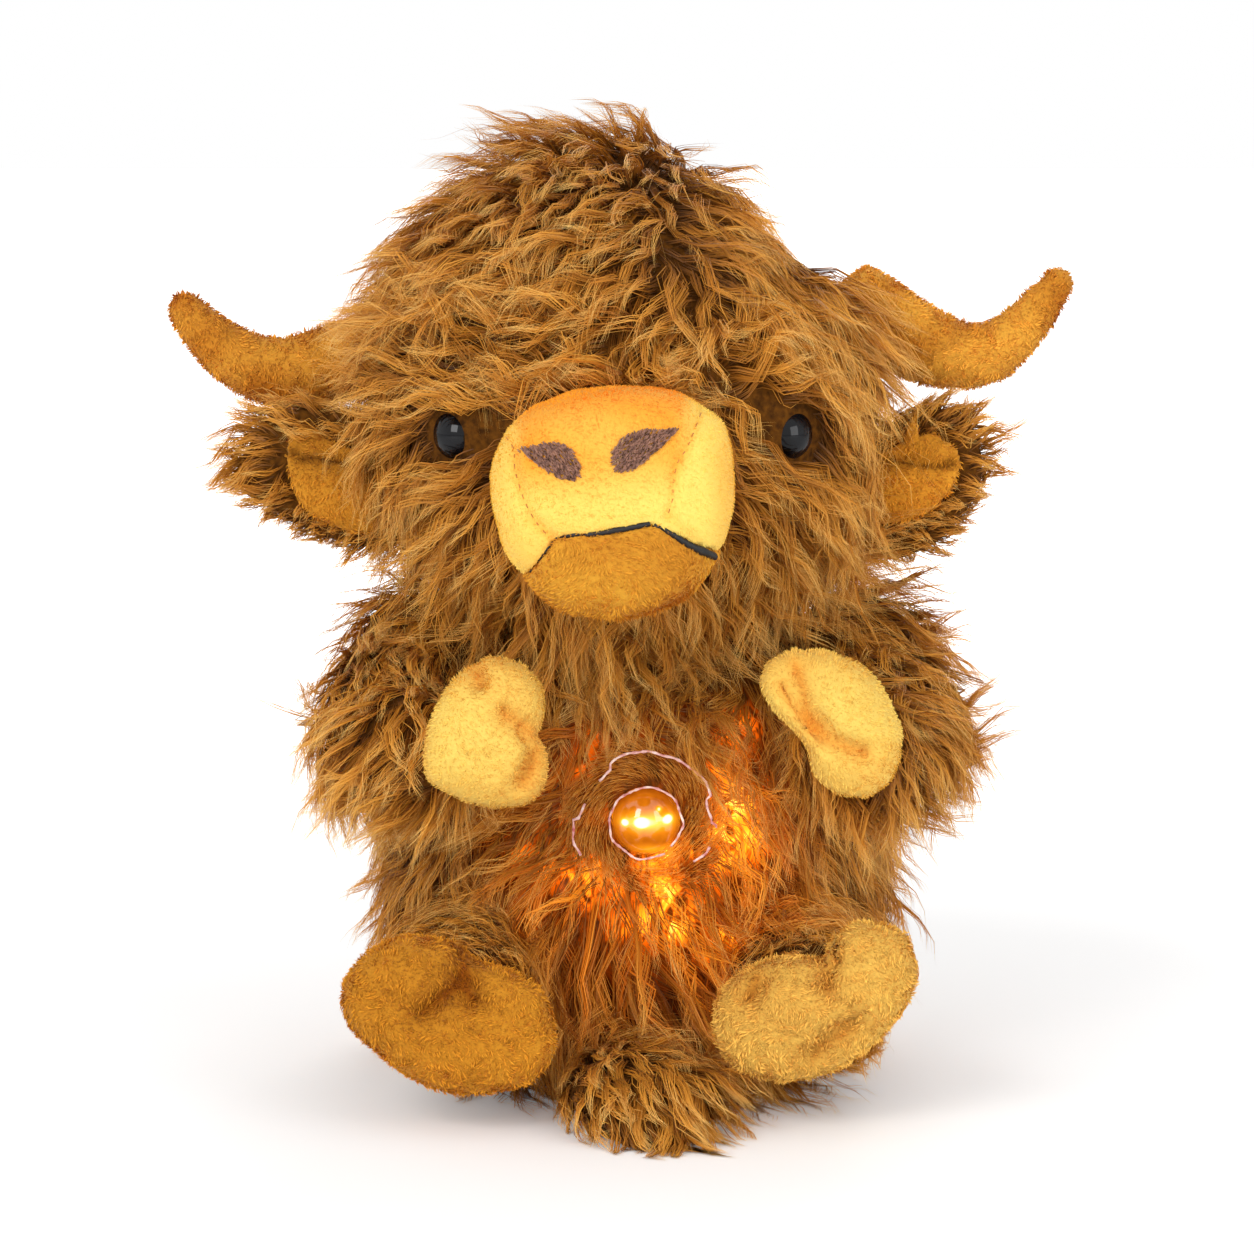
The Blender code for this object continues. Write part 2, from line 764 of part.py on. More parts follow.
def make_eye(word, side, place, finish, head):
    """A safety eye in its well in the pile, with the washer that locks its stem."""
    middle = pivot(
        f"eye_{word}_middle", (side * EYE_SPACING / 2, -EYE_SET_FORWARD, -EYE_DROP), place
    )
    middle.rotation_euler = (math.pi / 2, 0, side * EYE_TURN)
    mesh = turned(f"eye_{word}", eye_profile(0, False), EYE_SIDES)
    piece(f"eye_{word}", mesh, middle, finish["eye"])
    room_mesh = turned(f"eye_{word}_room", eye_profile(GAP, True), EYE_SIDES)
    room = piece(f"eye_{word}_room", room_mesh, middle)
    boolean(head, room)
    low = -WASHER_DEPTH - WASHER_THICKNESS
    inner = EYE_STEM_DIAMETER / 2 + GAP
    outer = WASHER_DIAMETER / 2
    section = [(inner, low), (outer, low), (outer, -WASHER_DEPTH), (inner, -WASHER_DEPTH)]
    mesh = ring_turned(f"eye_washer_{word}", section, EYE_SIDES)
    piece(f"eye_washer_{word}", mesh, middle, finish["washer"])


def make_ear(word, side, place, finish, head):
    """A flat ear on a round root, with its lining in a shallow bed."""
    surface = HEAD_WIDTH / 2 * math.sqrt(1 - (2 * EAR_DROP / HEAD_HEIGHT) ** 2)
    hinge = pivot(
        f"ear_{word}_root", (side * (surface - EAR_SET_IN), -EAR_SET_BACK, -EAR_DROP), place
    )
    name = f"ear_{word}"
    radius = EAR_ROOT_DIAMETER / 2
    room_mesh = barrel(
        f"{name}_room", cleared(radius, LIMB_SIDES), EAR_ROOT_HEIGHT + 2 * GAP
    )
    root_room = piece(f"{name}_room", room_mesh, hinge)
    boolean(head, root_room)
    flap = pad_form(name, EAR_LENGTH, EAR_HEIGHT, EAR_THICKNESS, EAR_SHARES)
    if side < 0:
        flap.transform(Matrix.Scale(-1, 4, (1, 0, 0)))
        flap.flip_normals()
    centre = EAR_SET_IN + FOLD_ROOM / 2 + EAR_LENGTH * EAR_CENTRE_SHARE
    flap.transform(Matrix.Translation((side * centre, 0, 0)))
    ear = piece(name, flap, hinge, finish["pile"])
    stub = piece(f"{name}_stub", barrel(f"{name}_stub", radius, EAR_ROOT_HEIGHT), hinge)
    bed_at = side * (EAR_SET_IN + FOLD_ROOM + LINING_LENGTH / 2 + GAP)
    front = -EAR_THICKNESS / 2 - LINING_THICKNESS / 2 + LINING_SINK
    lining = pad_form(
        f"ear_lining_{word}", LINING_LENGTH, LINING_HEIGHT, LINING_THICKNESS, LINING_SHARES
    )
    if side < 0:
        lining.transform(Matrix.Scale(-1, 4, (1, 0, 0)))
        lining.flip_normals()
    lining.transform(Matrix.Translation((bed_at, front, 0)))
    bed = piece(f"{name}_bed", grown(lining, f"{name}_bed", GAP), hinge)
    boolean(ear, stub, "UNION")
    boolean(ear, bed)
    piece(f"ear_lining_{word}", lining, hinge, finish["velboa"])


def limb_form(name, side, rows, reach, diameter, drop=True):
    """A sleeve or leg from its root, in rows of outward, forward, downward and thickness."""
    stations = []
    for row in smooth_rows(rows, 2):
        down = row[2] if drop else 0
        centre = Vector((side * row[0], -row[1], -down)) * reach
        stations.append((centre, row[-1] * diameter, row[-1] * diameter))
    start = stations[0][0] - (stations[1][0] - stations[0][0]).normalized() * stations[0][1] / 2
    end = stations[-1][0] + (stations[-1][0] - stations[-2][0]).normalized() * stations[-1][1] / 3
    stations = [(start, 0, 0)] + stations + [(end, 0, 0)]
    return along_path(name, stations, Vector((1, 0, 0)), round_ring(LIMB_SIDES))


def make_limb(name, hinge, mesh, diameter, finish, torso, torso_room, head=None):
    """A limb with a ball root, the ball's socket in the torso, and the room that others need."""
    room = piece(f"{name}_room", grown(mesh, f"{name}_room", GAP), hinge)
    limb = piece(name, mesh, hinge, finish["pile"])
    root = piece(f"{name}_ball", ball(f"{name}_ball", diameter / 2), hinge)
    socket_mesh = ball(f"{name}_socket", cleared(diameter / 2, LIMB_SIDES))
    socket = piece(f"{name}_socket", socket_mesh, hinge)
    boolean(limb, torso_room)
    boolean(limb, root, "UNION")
    boolean(torso, socket)
    if head:
        boolean(head, socket)
    return room


def make_arm(word, side, toy, finish, torso, torso_room, head, hand):
    """An arm that swings open about the upright line through its shoulder, and its hand."""
    hinge = pivot(
        f"shoulder_{word}", (side * SHOULDER_SPACING / 2, -SHOULDER_FORWARD, SHOULDER_HEIGHT), toy
    )
    mesh = limb_form(f"arm_{word}", side, ARM_SHARES, ARM_REACH, ARM_DIAMETER)
    room = make_limb(
        f"arm_{word}", hinge, mesh, SHOULDER_DIAMETER, finish, torso, torso_room, head
    )
    width, height, tilt, at, radii = hand
    pad = pad_form(f"hand_{word}", width, height, HAND_THICKNESS, radii)
    pad.transform(Matrix.Translation(at) @ Matrix.Rotation(tilt, 4, "Y"))
    boolean(piece(f"hand_{word}", pad, hinge, finish["pale_velboa"]), room)


def make_leg(word, side, toy, finish, torso, torso_room, foot):
    """A leg that splays outwards about the upright line through its hip, and its foot."""
    hinge = pivot(f"hip_{word}", (side * HIP_SPACING / 2, -HIP_FORWARD, HIP_HEIGHT), toy)
    mesh = limb_form(f"leg_{word}", side, LEG_SHARES, LEG_REACH, LEG_DIAMETER, drop=False)
    room = make_limb(f"leg_{word}", hinge, mesh, HIP_DIAMETER, finish, torso, torso_room)
    width, height, at, radii = foot
    pad = pad_form(f"foot_{word}", width, height, FOOT_THICKNESS, radii, FOOT_SIDES)
    pad.transform(Matrix.Translation(at))
    boolean(piece(f"foot_{word}", pad, hinge, finish["velboa"]), room)


def make_tail(toy, finish, torso):
    """The tail, pulled forward under the seat, in the groove that it presses there."""
    root = TORSO_BACK - TAIL_STRAP_THICKNESS / 2
    stations = []
    for forward, height, half_width, half_thickness in smooth_rows(TAIL_SHARES, 2):
        centre = Vector((0, root - forward * TAIL_REACH, height * TAIL_ROOT_HEIGHT))
        stations.append(
            (centre, half_width * TAIL_STRAP_WIDTH, half_thickness * TAIL_STRAP_THICKNESS)
        )
    start = stations[0][0] - (stations[1][0] - stations[0][0])
    end = stations[-1][0] + (stations[-1][0] - stations[-2][0])
    stations = [(start, 0, 0)] + stations + [(end, 0, 0)]
    mesh = along_path("tail", stations, Vector((1, 0, 0)), round_ring(TAIL_SIDES))
    boolean(torso, piece("tail_groove", grown(mesh, "tail_groove", GAP), toy))
    cut_flat(mesh, 0)
    piece("tail", mesh, toy, finish["pile"])


def rear_depth():
    """Depth of the rear shell, which holds a cell between its bay floor and its door."""
    return BAY_FLOOR + CELL_DIAMETER + 2 * GAP + MODULE_WALL


def flange_top():
    return FRONT_SHELL_DEPTH + COLLAR_HEIGHT - MODULE_WALL - GAP


def spring_length():
    """Length of the dome's spring at rest, with room for its travel."""
    return SPRING_WIRE * (SPRING_TURNS + 2) + DOME_TRAVEL


def shelf_top():
    return flange_top() - FLANGE_THICKNESS - spring_length() - 2 * GAP


def board_top():
    return BOARD_HEIGHT + BOARD_THICKNESS


def plunger_top():
    return board_top() + GAP + SWITCH_HEIGHT + PLUNGER_STANDS


def round_places(count, radius, turn=0.0):
    """Places spaced evenly on a circle about the module's axis."""
    angles = [2 * math.pi * (index + turn) / count for index in range(count)]
    return [(radius * math.cos(angle), radius * math.sin(angle)) for angle in angles]


def housing_screw_places():
    """Places of the four screws that close the housing, above and below the battery door."""
    across = HOUSING_SCREW_RADIUS * math.cos(HOUSING_SCREW_ANGLE)
    along = HOUSING_SCREW_RADIUS * math.sin(HOUSING_SCREW_ANGLE)
    return [(side * across, way * along) for way in (-1, 1) for side in (-1, 1)]


def planted(mesh, at, sides):
    """A small round form moved to its place, with no corner on a line through the module's axis."""
    half_step = Matrix.Rotation(math.pi / sides, 4, "Z")
    return moved(mesh, Matrix.Translation((*at, 0)) @ half_step)


def rod(name, diameter, low, high, at=(0, 0), sides=SMALL_SIDES):
    """A plain rod parallel to Z."""
    radius = diameter / 2
    mesh = turned(name, [(0, low), (radius, low), (radius, high), (0, high)], sides)
    return planted(mesh, at, sides)


def screw(name, length, seat, at):
    """A screw whose head stands on a seat and whose shank runs up from it."""
    head = SCREW_HEAD_DIAMETER / 2
    shank = SCREW_DIAMETER / 2
    under = seat - GAP
    profile = [
        (0, under - SCREW_HEAD_HEIGHT),
        (head, under - SCREW_HEAD_HEIGHT),
        (head, under),
        (shank, under),
        (shank, under + length),
        (0, under + length),
    ]
    return planted(turned(name, profile, SMALL_SIDES), at, SMALL_SIDES)


def make_module_room(middle, torso):
    """The room in the tummy: the pocket, the hole for the collar and the trimmed well."""
    pocket = MODULE_DIAMETER / 2 + GAP
    hole = COLLAR_DIAMETER / 2 + GAP
    back = -rear_depth() - SCREW_HEAD_HEIGHT - 2 * GAP
    top = FRONT_SHELL_DEPTH + COLLAR_HEIGHT
    profile = [
        (0, back),
        (pocket, back),
        (pocket, FRONT_SHELL_DEPTH + GAP),
        (hole, FRONT_SHELL_DEPTH + GAP),
        (hole, top),
        (WELL_DIAMETER / 2, top),
        (WELL_DIAMETER / 2, top + DOME_DIAMETER),
        (0, top + DOME_DIAMETER),
    ]
    boolean(torso, piece("module_room", turned("module_room", profile, FINE_SIDES), middle))


def make_front_shell(middle, finish):
    """The front cup, with the collar that holds the dome and the shelf that holds its spring."""
    outer = MODULE_DIAMETER / 2
    inner = outer - MODULE_WALL
    collar = COLLAR_DIAMETER / 2
    bore = FLANGE_DIAMETER / 2 + GAP
    lip = DOME_DIAMETER / 2 + GAP
    front = FRONT_SHELL_DEPTH
    top = front + COLLAR_HEIGHT
    section = [
        (outer, 0),
        (outer, front - MODULE_WALL),
        (outer - MODULE_WALL, front),
        (collar, front),
        (collar, top),
        (lip, top),
        (lip, top - MODULE_WALL),
        (bore, top - MODULE_WALL),
        (bore, shelf_top()),
        (SHELF_BORE / 2, shelf_top()),
        (SHELF_BORE / 2, shelf_top() - SHELF_THICKNESS),
        (collar, shelf_top() - SHELF_THICKNESS),
        (collar, front - MODULE_WALL),
        (inner, front - MODULE_WALL),
        (inner, 0),
    ]
    mesh = ring_turned("module_front_shell", section, FINE_SIDES)
    shell = piece("module_front_shell", mesh, middle, finish["milky"])
    places = housing_screw_places()
    hole_end = HOUSING_SCREW_LENGTH - rear_depth() + OVERRUN
    posts = [rod("post", BOSS_DIAMETER, GAP, front - MODULE_WALL / 2, at) for at in places]
    holes = [rod("hole", SCREW_DIAMETER + 2 * GAP, -OVERRUN, hole_end, at) for at in places]
    boolean(shell, piece("front_posts", joined("front_posts", posts), middle), "UNION")
    boolean(shell, piece("front_holes", joined("front_holes", holes), middle))


def door_outline(spare):
    """The battery door's plate and its screw tab, as two outlines."""
    plate = rounded_rectangle(DOOR_WIDTH + 2 * spare, DOOR_HEIGHT + 2 * spare, DOOR_CORNER)
    reach = DOOR_TAB_REACH + spare
    tab = rectangle(DOOR_TAB_WIDTH + 2 * spare, reach, 0, reach / 2)
    return plate, tab


def make_rear_shell(middle, finish):
    """The rear cup with its battery bay, the posts under the board and the screw bosses."""
    outer = MODULE_DIAMETER / 2
    inner = outer - MODULE_WALL
    depth = rear_depth()
    profile = [
        (0, -depth),
        (inner, -depth),
        (outer, MODULE_WALL - depth),
        (outer, -GAP),
        (inner, -GAP),
        (inner, MODULE_WALL - depth),
        (0, MODULE_WALL - depth),
    ]
    mesh = turned("module_rear_shell", profile, FINE_SIDES)
    shell = piece("module_rear_shell", mesh, middle, finish["milky"])
    lap = MODULE_WALL / 2
    floor_low = -BAY_FLOOR
    floor_high = MODULE_WALL - BAY_FLOOR
    low = lap - depth
    bay_floor = rod("bay_floor", 2 * (inner + lap), floor_low, floor_high, sides=FINE_SIDES)
    boolean(shell, piece("bay_floor", bay_floor, middle), "UNION")
    posts = [rod("door_post", BOSS_DIAMETER, low, floor_low + lap, (0, DOOR_SCREW_AT))]
    for at in round_places(4, BOARD_POST_RADIUS, 0.5):
        posts.append(
            rod("board_post", BOARD_POST_DIAMETER, floor_high - lap, BOARD_HEIGHT - GAP, at)
        )
    for at in housing_screw_places():
        posts.append(rod("rear_post", BOSS_DIAMETER, low, -2 * GAP, at))
    end = contact_at() + CONTACT_THICKNESS + GAP
    for side in (-1, 1):
        length = 2 * CELL_PITCH + CONTACT_WIDTH / 2
        wall = rectangle(BAY_END_WALL, length, side * (end + BAY_END_WALL / 2))
        posts.append(extruded("bay_end", wall, low, floor_low + lap))
    boolean(shell, piece("rear_posts", joined("rear_posts", posts), middle), "UNION")
    for kind, outline in zip(("plate", "tab"), door_outline(GAP)):
        name = f"door_way_{kind}"
        way = extruded(name, outline, -depth - OVERRUN, MODULE_WALL - depth + GAP)
        boolean(shell, piece(name, way, middle))
    bore = SCREW_DIAMETER + 2 * GAP
    hole_end = DOOR_SCREW_LENGTH - depth + GAP
    holes = [rod("door_hole", bore, -depth - OVERRUN, hole_end, (0, DOOR_SCREW_AT))]
    for at in housing_screw_places():
        holes.append(rod("rear_hole", bore, -depth - OVERRUN, OVERRUN, at))
    for at in wire_places():
        holes.append(
            rod("wire_hole", WIRE_DIAMETER + 2 * GAP, floor_low - OVERRUN, floor_high + OVERRUN, at)
        )
    boolean(shell, piece("rear_holes", joined("rear_holes", holes), middle))


def contact_at():
    """Where the inner face of a battery contact stands, from the middle of the bay."""
    return CELL_LENGTH / 2 + GAP


def wire_places():
    """Where the lead wires pass the bay's floor, over the contacts of the outer cells."""
    return [
        (side * (contact_at() + CONTACT_THICKNESS / 2), side * CELL_PITCH) for side in (-1, 1)
    ]


def make_dome(middle, finish):
    """The dome, pressed through the collar, with its flange and the stem that works the switch."""
    dome = pivot("dome_axis", (0, 0, 0), middle)
    outer = DOME_DIAMETER / 2
    inner = outer - DOME_WALL
    stem = STEM_DIAMETER / 2
    base = flange_top() - FLANGE_THICKNESS
    spring_line = flange_top() + DOME_SKIRT
    profile = [(0, plunger_top() + GAP), (stem, plunger_top() + GAP)]
    for step in range(1, DOME_STEPS):
        angle = math.pi / 2 * (1 - step / DOME_STEPS)
        radius = inner * math.cos(angle)
        if radius > stem:
            profile.append((radius, spring_line + (DOME_CROWN - DOME_WALL) * math.sin(angle)))
    profile.insert(2, (stem, profile[2][1]))
    profile += [
        (inner, spring_line),
        (inner, base),
        (FLANGE_DIAMETER / 2, base),
        (FLANGE_DIAMETER / 2, flange_top()),
        (outer, flange_top()),
    ]
    for step in range(DOME_STEPS):
        angle = math.pi / 2 * step / DOME_STEPS
        profile.append((outer * math.cos(angle), spring_line + DOME_CROWN * math.sin(angle)))
    profile.append((0, spring_line + DOME_CROWN))
    piece("dome_button", turned("dome_button", profile, FINE_SIDES), dome, finish["amber"])
    low = plunger_top() - PLUNGER_LENGTH
    mesh = rod("switch_plunger", PLUNGER_DIAMETER, low, plunger_top())
    piece("switch_plunger", mesh, dome, finish["black"])


def make_spring(middle, finish):
    """The coil spring between the shelf and the dome's flange."""
    low = shelf_top() + GAP + SPRING_WIRE / 2
    rise = spring_length() - SPRING_WIRE
    count = int(SPRING_TURNS * SPRING_POINTS)
    curve = bpy.data.curves.new("button_spring", "CURVE")
    curve.dimensions = "3D"
    curve.bevel_depth = SPRING_WIRE / 2
    curve.bevel_resolution = 1
    curve.use_fill_caps = True
    spline = curve.splines.new("POLY")
    spline.points.add(count)
    for index, point in enumerate(spline.points):
        angle = 2 * math.pi * index / SPRING_POINTS
        point.co = (
            SPRING_DIAMETER / 2 * math.cos(angle),
            SPRING_DIAMETER / 2 * math.sin(angle),
            low + rise * index / count,
            1,
        )
    gap = rise / SPRING_TURNS - SPRING_WIRE
    print(f"least gap between the spring's curls: {gap:.5f} m")
    piece("button_spring", curve, middle, finish["steel"])


def make_switch_and_board(middle, finish):
    """The board with its lamps soldered on, and the switch at its middle."""
    disc = rod("led_board", BOARD_DIAMETER, BOARD_HEIGHT, board_top(), sides=FINE_SIDES)
    board = piece("led_board", disc, middle, finish["board"])
    low = board_top() + GAP
    body = extruded("tact_switch", rectangle(SWITCH_WIDTH, SWITCH_WIDTH), low, low + SWITCH_HEIGHT)
    switch = piece("tact_switch", body, middle, finish["black"])
    bottom = plunger_top() - PLUNGER_LENGTH - DOME_TRAVEL - GAP
    well = rod("plunger_well", PLUNGER_DIAMETER + 2 * GAP, bottom, plunger_top())
    boolean(switch, piece("plunger_well", well, middle))
    places = round_places(LEDS_IN_DOME, LEDS_IN_DOME_RADIUS, 0.5)
    places += round_places(LEDS_IN_RING, LEDS_IN_RING_RADIUS, 0.5)
    radius = LED_DIAMETER / 2
    foot = board_top() - BOARD_THICKNESS / 2
    top = board_top() + LED_HEIGHT
    profile = [(0, foot), (radius, foot), (radius, top - radius),
               (radius * (1 - LED_EDGE_SHARE), top - radius * LED_EDGE_SHARE), (0, top)]
    lamps = [planted(turned("led", profile, LED_SIDES), at, LED_SIDES) for at in places]
    boolean(board, piece("led_lamps", joined("led_lamps", lamps), middle), "UNION")


def make_batteries(middle, finish):
    """Cells side by side, alternate ends up, between contacts that put them in series."""
    radius = CELL_DIAMETER / 2
    nub = CELL_NUB_DIAMETER / 2
    half = CELL_LENGTH / 2
    profile = [
        (0, -half), (radius, -half), (radius, half - CELL_NUB_HEIGHT),
        (nub, half - CELL_NUB_HEIGHT), (nub, half), (0, half),
    ]
    centre = -BAY_FLOOR - GAP - radius
    for index in range(CELL_COUNT):
        row = (index - (CELL_COUNT - 1) / 2) * CELL_PITCH
        way = 1 if index % 2 else -1
        place = Matrix.Translation((0, row, centre)) @ Matrix.Rotation(way * math.pi / 2, 4, "Y")
        name = f"battery_cell_{index + 1}"
        mesh = moved(turned(name, profile, 2 * SMALL_SIDES), place)
        piece(name, mesh, middle, finish["cell"])
    for word, side in (("left", -1), ("right", 1)):
        at = side * (contact_at() + CONTACT_THICKNESS / 2)
        low = centre - CONTACT_WIDTH / 2
        single = rectangle(CONTACT_THICKNESS, CONTACT_WIDTH, at, side * CELL_PITCH)
        double = rectangle(
            CONTACT_THICKNESS, CONTACT_WIDTH + CELL_PITCH, at, -side * CELL_PITCH / 2
        )
        for kind, plate in (("end", single), ("bridge", double)):
            name = f"contact_{kind}_{word}"
            mesh = extruded(name, plate, low, -BAY_FLOOR - GAP)
            piece(name, mesh, middle, finish["steel"])


def make_door_and_screws(middle, finish):
    low = -rear_depth()
    plate, tab = door_outline(0)
    high = low + MODULE_WALL
    door = piece(
        "battery_door", extruded("battery_door", plate, low, high), middle, finish["milky"]
    )
    boolean(door, piece("door_tab", extruded("door_tab", tab, low, high), middle), "UNION")
    hole = rod("door_tab_hole", SCREW_DIAMETER + 2 * GAP, low - OVERRUN, high + OVERRUN,
               (0, DOOR_SCREW_AT))
    boolean(door, piece("door_tab_hole", hole, middle))
    mesh = screw("door_screw", DOOR_SCREW_LENGTH, low, (0, DOOR_SCREW_AT))
    piece("door_screw", mesh, middle, finish["steel"])
    for index, at in enumerate(housing_screw_places(), 1):
        name = f"housing_screw_{index}"
        piece(name, screw(name, HOUSING_SCREW_LENGTH, low, at), middle, finish["steel"])


def make_wires(middle, finish):
    """Two lead wires, from over their contacts, up through the bay's floor and in to the board."""
    high = BOARD_HEIGHT - GAP
    low = MODULE_WALL - BAY_FLOOR
    for index, (x, y) in enumerate(wire_places(), 1):
        inward = 1 - 2 * WIRE_BEND / math.hypot(x, y)
        route = smooth_rows(
            [
                (x, y, -BAY_FLOOR),
                (x, y, low),
                (x * (1 + inward) / 2, y * (1 + inward) / 2, (low + high) / 2),
                (x * inward, y * inward, high - WIRE_DIAMETER),
                (x * inward, y * inward, high),
            ],
            2,
        )
        stations = [(Vector(point), WIRE_DIAMETER / 2, WIRE_DIAMETER / 2) for point in route]
        first = (stations[0][0], 0, 0)
        last = (stations[-1][0], 0, 0)
        stations = [first] + stations + [last]
        name = f"lead_wire_{index}"
        mesh = along_path(name, stations, Vector((0, 1, 0)), round_ring(6))
        piece(name, mesh, middle, finish["wire"])


def make_module(toy, finish, torso):
    """The light module in the tummy. Its own +Z points out of the tummy, at -Y."""
    parting = FRONT_SHELL_DEPTH + COLLAR_HEIGHT - WELL_FLOOR
    middle = pivot("module_middle", (MODULE_ASIDE, parting, MODULE_HEIGHT), toy)
    middle.rotation_euler = (math.pi / 2, 0, 0)
    make_module_room(middle, torso)
    make_front_shell(middle, finish)
    make_rear_shell(middle, finish)
    make_dome(middle, finish)
    make_spring(middle, finish)
    make_switch_and_board(middle, finish)
    make_batteries(middle, finish)
    make_door_and_screws(middle, finish)
    make_wires(middle, finish)
    return parting


def teeth_outline(side, shift):
    """Comb of a row of zip teeth, as an outline of (x, z), its back away from the middle."""
    half = ZIP_OPENING / 2
    count = int(ZIP_OPENING / TEETH_PITCH)
    start = -(count - 1) * TEETH_PITCH / 2 + shift
    back = -side * (TEETH_SPREAD + TEETH_BEAD)
    root = -side * TEETH_SPREAD
    tip = side * TOOTH_OVERLAP
    outline = [(back, half), (back, -half), (root, -half)]
    for index in range(count):
        middle = start + index * TEETH_PITCH
        outline += [
            (root, middle - TOOTH_HEIGHT / 2),
            (tip, middle - TOOTH_HEIGHT / 2),
            (tip, middle + TOOTH_HEIGHT / 2),
            (root, middle + TOOTH_HEIGHT / 2),
        ]
    return outline + [(root, half)]


def make_slider(middle, teeth_middle, finish):
    """The slider: two plates with turned lips, the wedge that parts the teeth, and the bridge."""
    rest = ZIP_OPENING / 2 + GAP + SLIDER_WEDGE_LENGTH - SLIDER_LENGTH / 2
    at = pivot("slider_middle", (0, teeth_middle, rest), middle)
    inside = TEETH_THICKNESS / 2 + GAP
    outside = inside + SLIDER_PLATE
    lip = TAPE_THICKNESS / 2 + GAP
    half = SLIDER_WIDTH / 2
    channel = [
        (-half, lip), (SLIDER_LIP - half, lip), (SLIDER_LIP - half, inside),
        (half - SLIDER_LIP, inside), (half - SLIDER_LIP, lip), (half, lip),
        (half, outside), (-half, outside),
    ]
    ends = (-SLIDER_LENGTH / 2, SLIDER_LENGTH / 2)
    slider = piece("zip_slider", extruded("zip_slider", channel, *ends), at, finish["steel"])
    under = [(x, -y) for x, y in channel]
    wedge = rectangle(SLIDER_WEDGE_WIDTH, 2 * inside + SLIDER_PLATE)
    foot = outside - SLIDER_PLATE / 2
    top = outside + BRIDGE_ROOM
    long = BRIDGE_LENGTH / 2
    arch = [
        (long, foot), (long, top + BRIDGE_BAR), (-long, top + BRIDGE_BAR), (-long, foot),
        (BRIDGE_BAR - long, foot), (BRIDGE_BAR - long, top), (long - BRIDGE_BAR, top),
        (long - BRIDGE_BAR, foot),
    ]
    bridge = extruded("bridge", arch, -BRIDGE_WIDTH / 2, BRIDGE_WIDTH / 2)
    bridge.transform(Matrix(((0, 0, 1, 0), (0, 1, 0, 0), (-1, 0, 0, 0), (0, 0, 0, 1))))
    wedge_ends = (SLIDER_LENGTH / 2 - SLIDER_WEDGE_LENGTH, SLIDER_LENGTH / 2)
    additions = (
        extruded("slider_under", under, *ends), extruded("slider_wedge", wedge, *wedge_ends), bridge
    )
    for index, addition in enumerate(additions):
        boolean(slider, piece(f"slider_part_{index}", addition, at), "UNION")
    make_pull(at, outside + BRIDGE_ROOM / 2, finish)


def make_pull(slider_middle, height, finish):
    """The pull, hung by its cross bar in the slider's bridge."""
    at = pivot("pull_axis", (0, height, 0), slider_middle)
    low = PULL_THICKNESS / 2 - PULL_LENGTH
    centre = (PULL_THICKNESS / 2 + low) / 2
    outline = rounded_rectangle(
        PULL_WIDTH, PULL_LENGTH, PULL_THICKNESS, 0, centre
    )
    half = PULL_THICKNESS / 2
    plate = extruded("zip_pull", outline, -half, half, upright=True)
    pull = piece("zip_pull", plate, at, finish["steel"])
    window = rectangle(
        PULL_HOLE_WIDTH, PULL_HOLE_LENGTH, 0, -half - PULL_HOLE_LENGTH / 2
    )
    hole = extruded("pull_window", window, -half - OVERRUN, half + OVERRUN, upright=True)
    boolean(pull, piece("pull_window", hole, at))


def make_zip(toy, finish, torso, pocket_back):
    """The zip in its flat bed, over the slot that leads to the light module."""
    middle = pivot("zip_middle", (0, ZIP_BED, ZIP_START + ZIP_OPENING / 2), toy)
    inner = TEETH_SPREAD + TEETH_BEAD + GAP
    tape_length = ZIP_OPENING + 2 * TAPE_END
    bed = rectangle(2 * (inner + TAPE_WIDTH + GAP), tape_length + 2 * GAP)
    slot = rectangle(ZIP_SLOT_WIDTH, ZIP_OPENING + 2 * (SLIDER_WEDGE_LENGTH + 2 * GAP))
    bed_cut = extruded("zip_bed", bed, 0, TORSO_DEPTH / 2, upright=True)
    slot_cut = extruded("zip_slot", slot, pocket_back - ZIP_BED, OVERRUN, upright=True)
    boolean(torso, piece("zip_bed", bed_cut, middle))
    boolean(torso, piece("zip_slot", slot_cut, middle))
    teeth_middle = GAP + TAPE_THICKNESS / 2
    deep = (teeth_middle - TEETH_THICKNESS / 2, teeth_middle + TEETH_THICKNESS / 2)
    above = GAP + TAPE_THICKNESS + GAP
    slider_top = ZIP_OPENING / 2 + GAP + SLIDER_WEDGE_LENGTH
    stop = rectangle(2 * inner + STOP_WIDTH, STOP_HEIGHT, 0,
                     -ZIP_OPENING / 2 - GAP - STOP_HEIGHT / 2)
    stops = {"zip_stop_bottom": stop}
    for word, side in (("left", -1), ("right", 1)):
        tape = rectangle(TAPE_WIDTH, tape_length, side * (inner + TAPE_WIDTH / 2))
        name = f"zip_tape_{word}"
        mesh = extruded(name, tape, GAP, GAP + TAPE_THICKNESS, upright=True)
        piece(name, mesh, middle, finish["tape"])
        name = f"zip_teeth_{word}"
        comb = teeth_outline(-side, (side - 1) * TEETH_PITCH / 4)
        piece(name, extruded(name, comb, *deep, upright=True), middle, finish["teeth"])
        stops[f"zip_stop_{word}"] = rectangle(
            STOP_WIDTH / 2, STOP_HEIGHT, side * (inner + STOP_WIDTH / 4),
            slider_top + GAP + STOP_HEIGHT / 2,
        )
    for name, outline in stops.items():
        mesh = extruded(name, outline, above, above + STOP_THICKNESS, upright=True)
        piece(name, mesh, middle, finish["steel"])
    make_slider(middle, teeth_middle, finish)


def stand_on_origin(toy):
    """Moves the whole toy so that the bottom of its box has its centre at the origin."""
    bpy.context.view_layer.update()
    graph = bpy.context.evaluated_depsgraph_get()
    points = []
    for item in bpy.data.objects:
        if item.type == "MESH" and not item.hide_render:
            shown = item.evaluated_get(graph)
            points += [shown.matrix_world @ vert.co for vert in shown.data.vertices]
    for axis in (0, 1):
        values = [point[axis] for point in points]
        toy.location[axis] = -(min(values) + max(values)) / 2


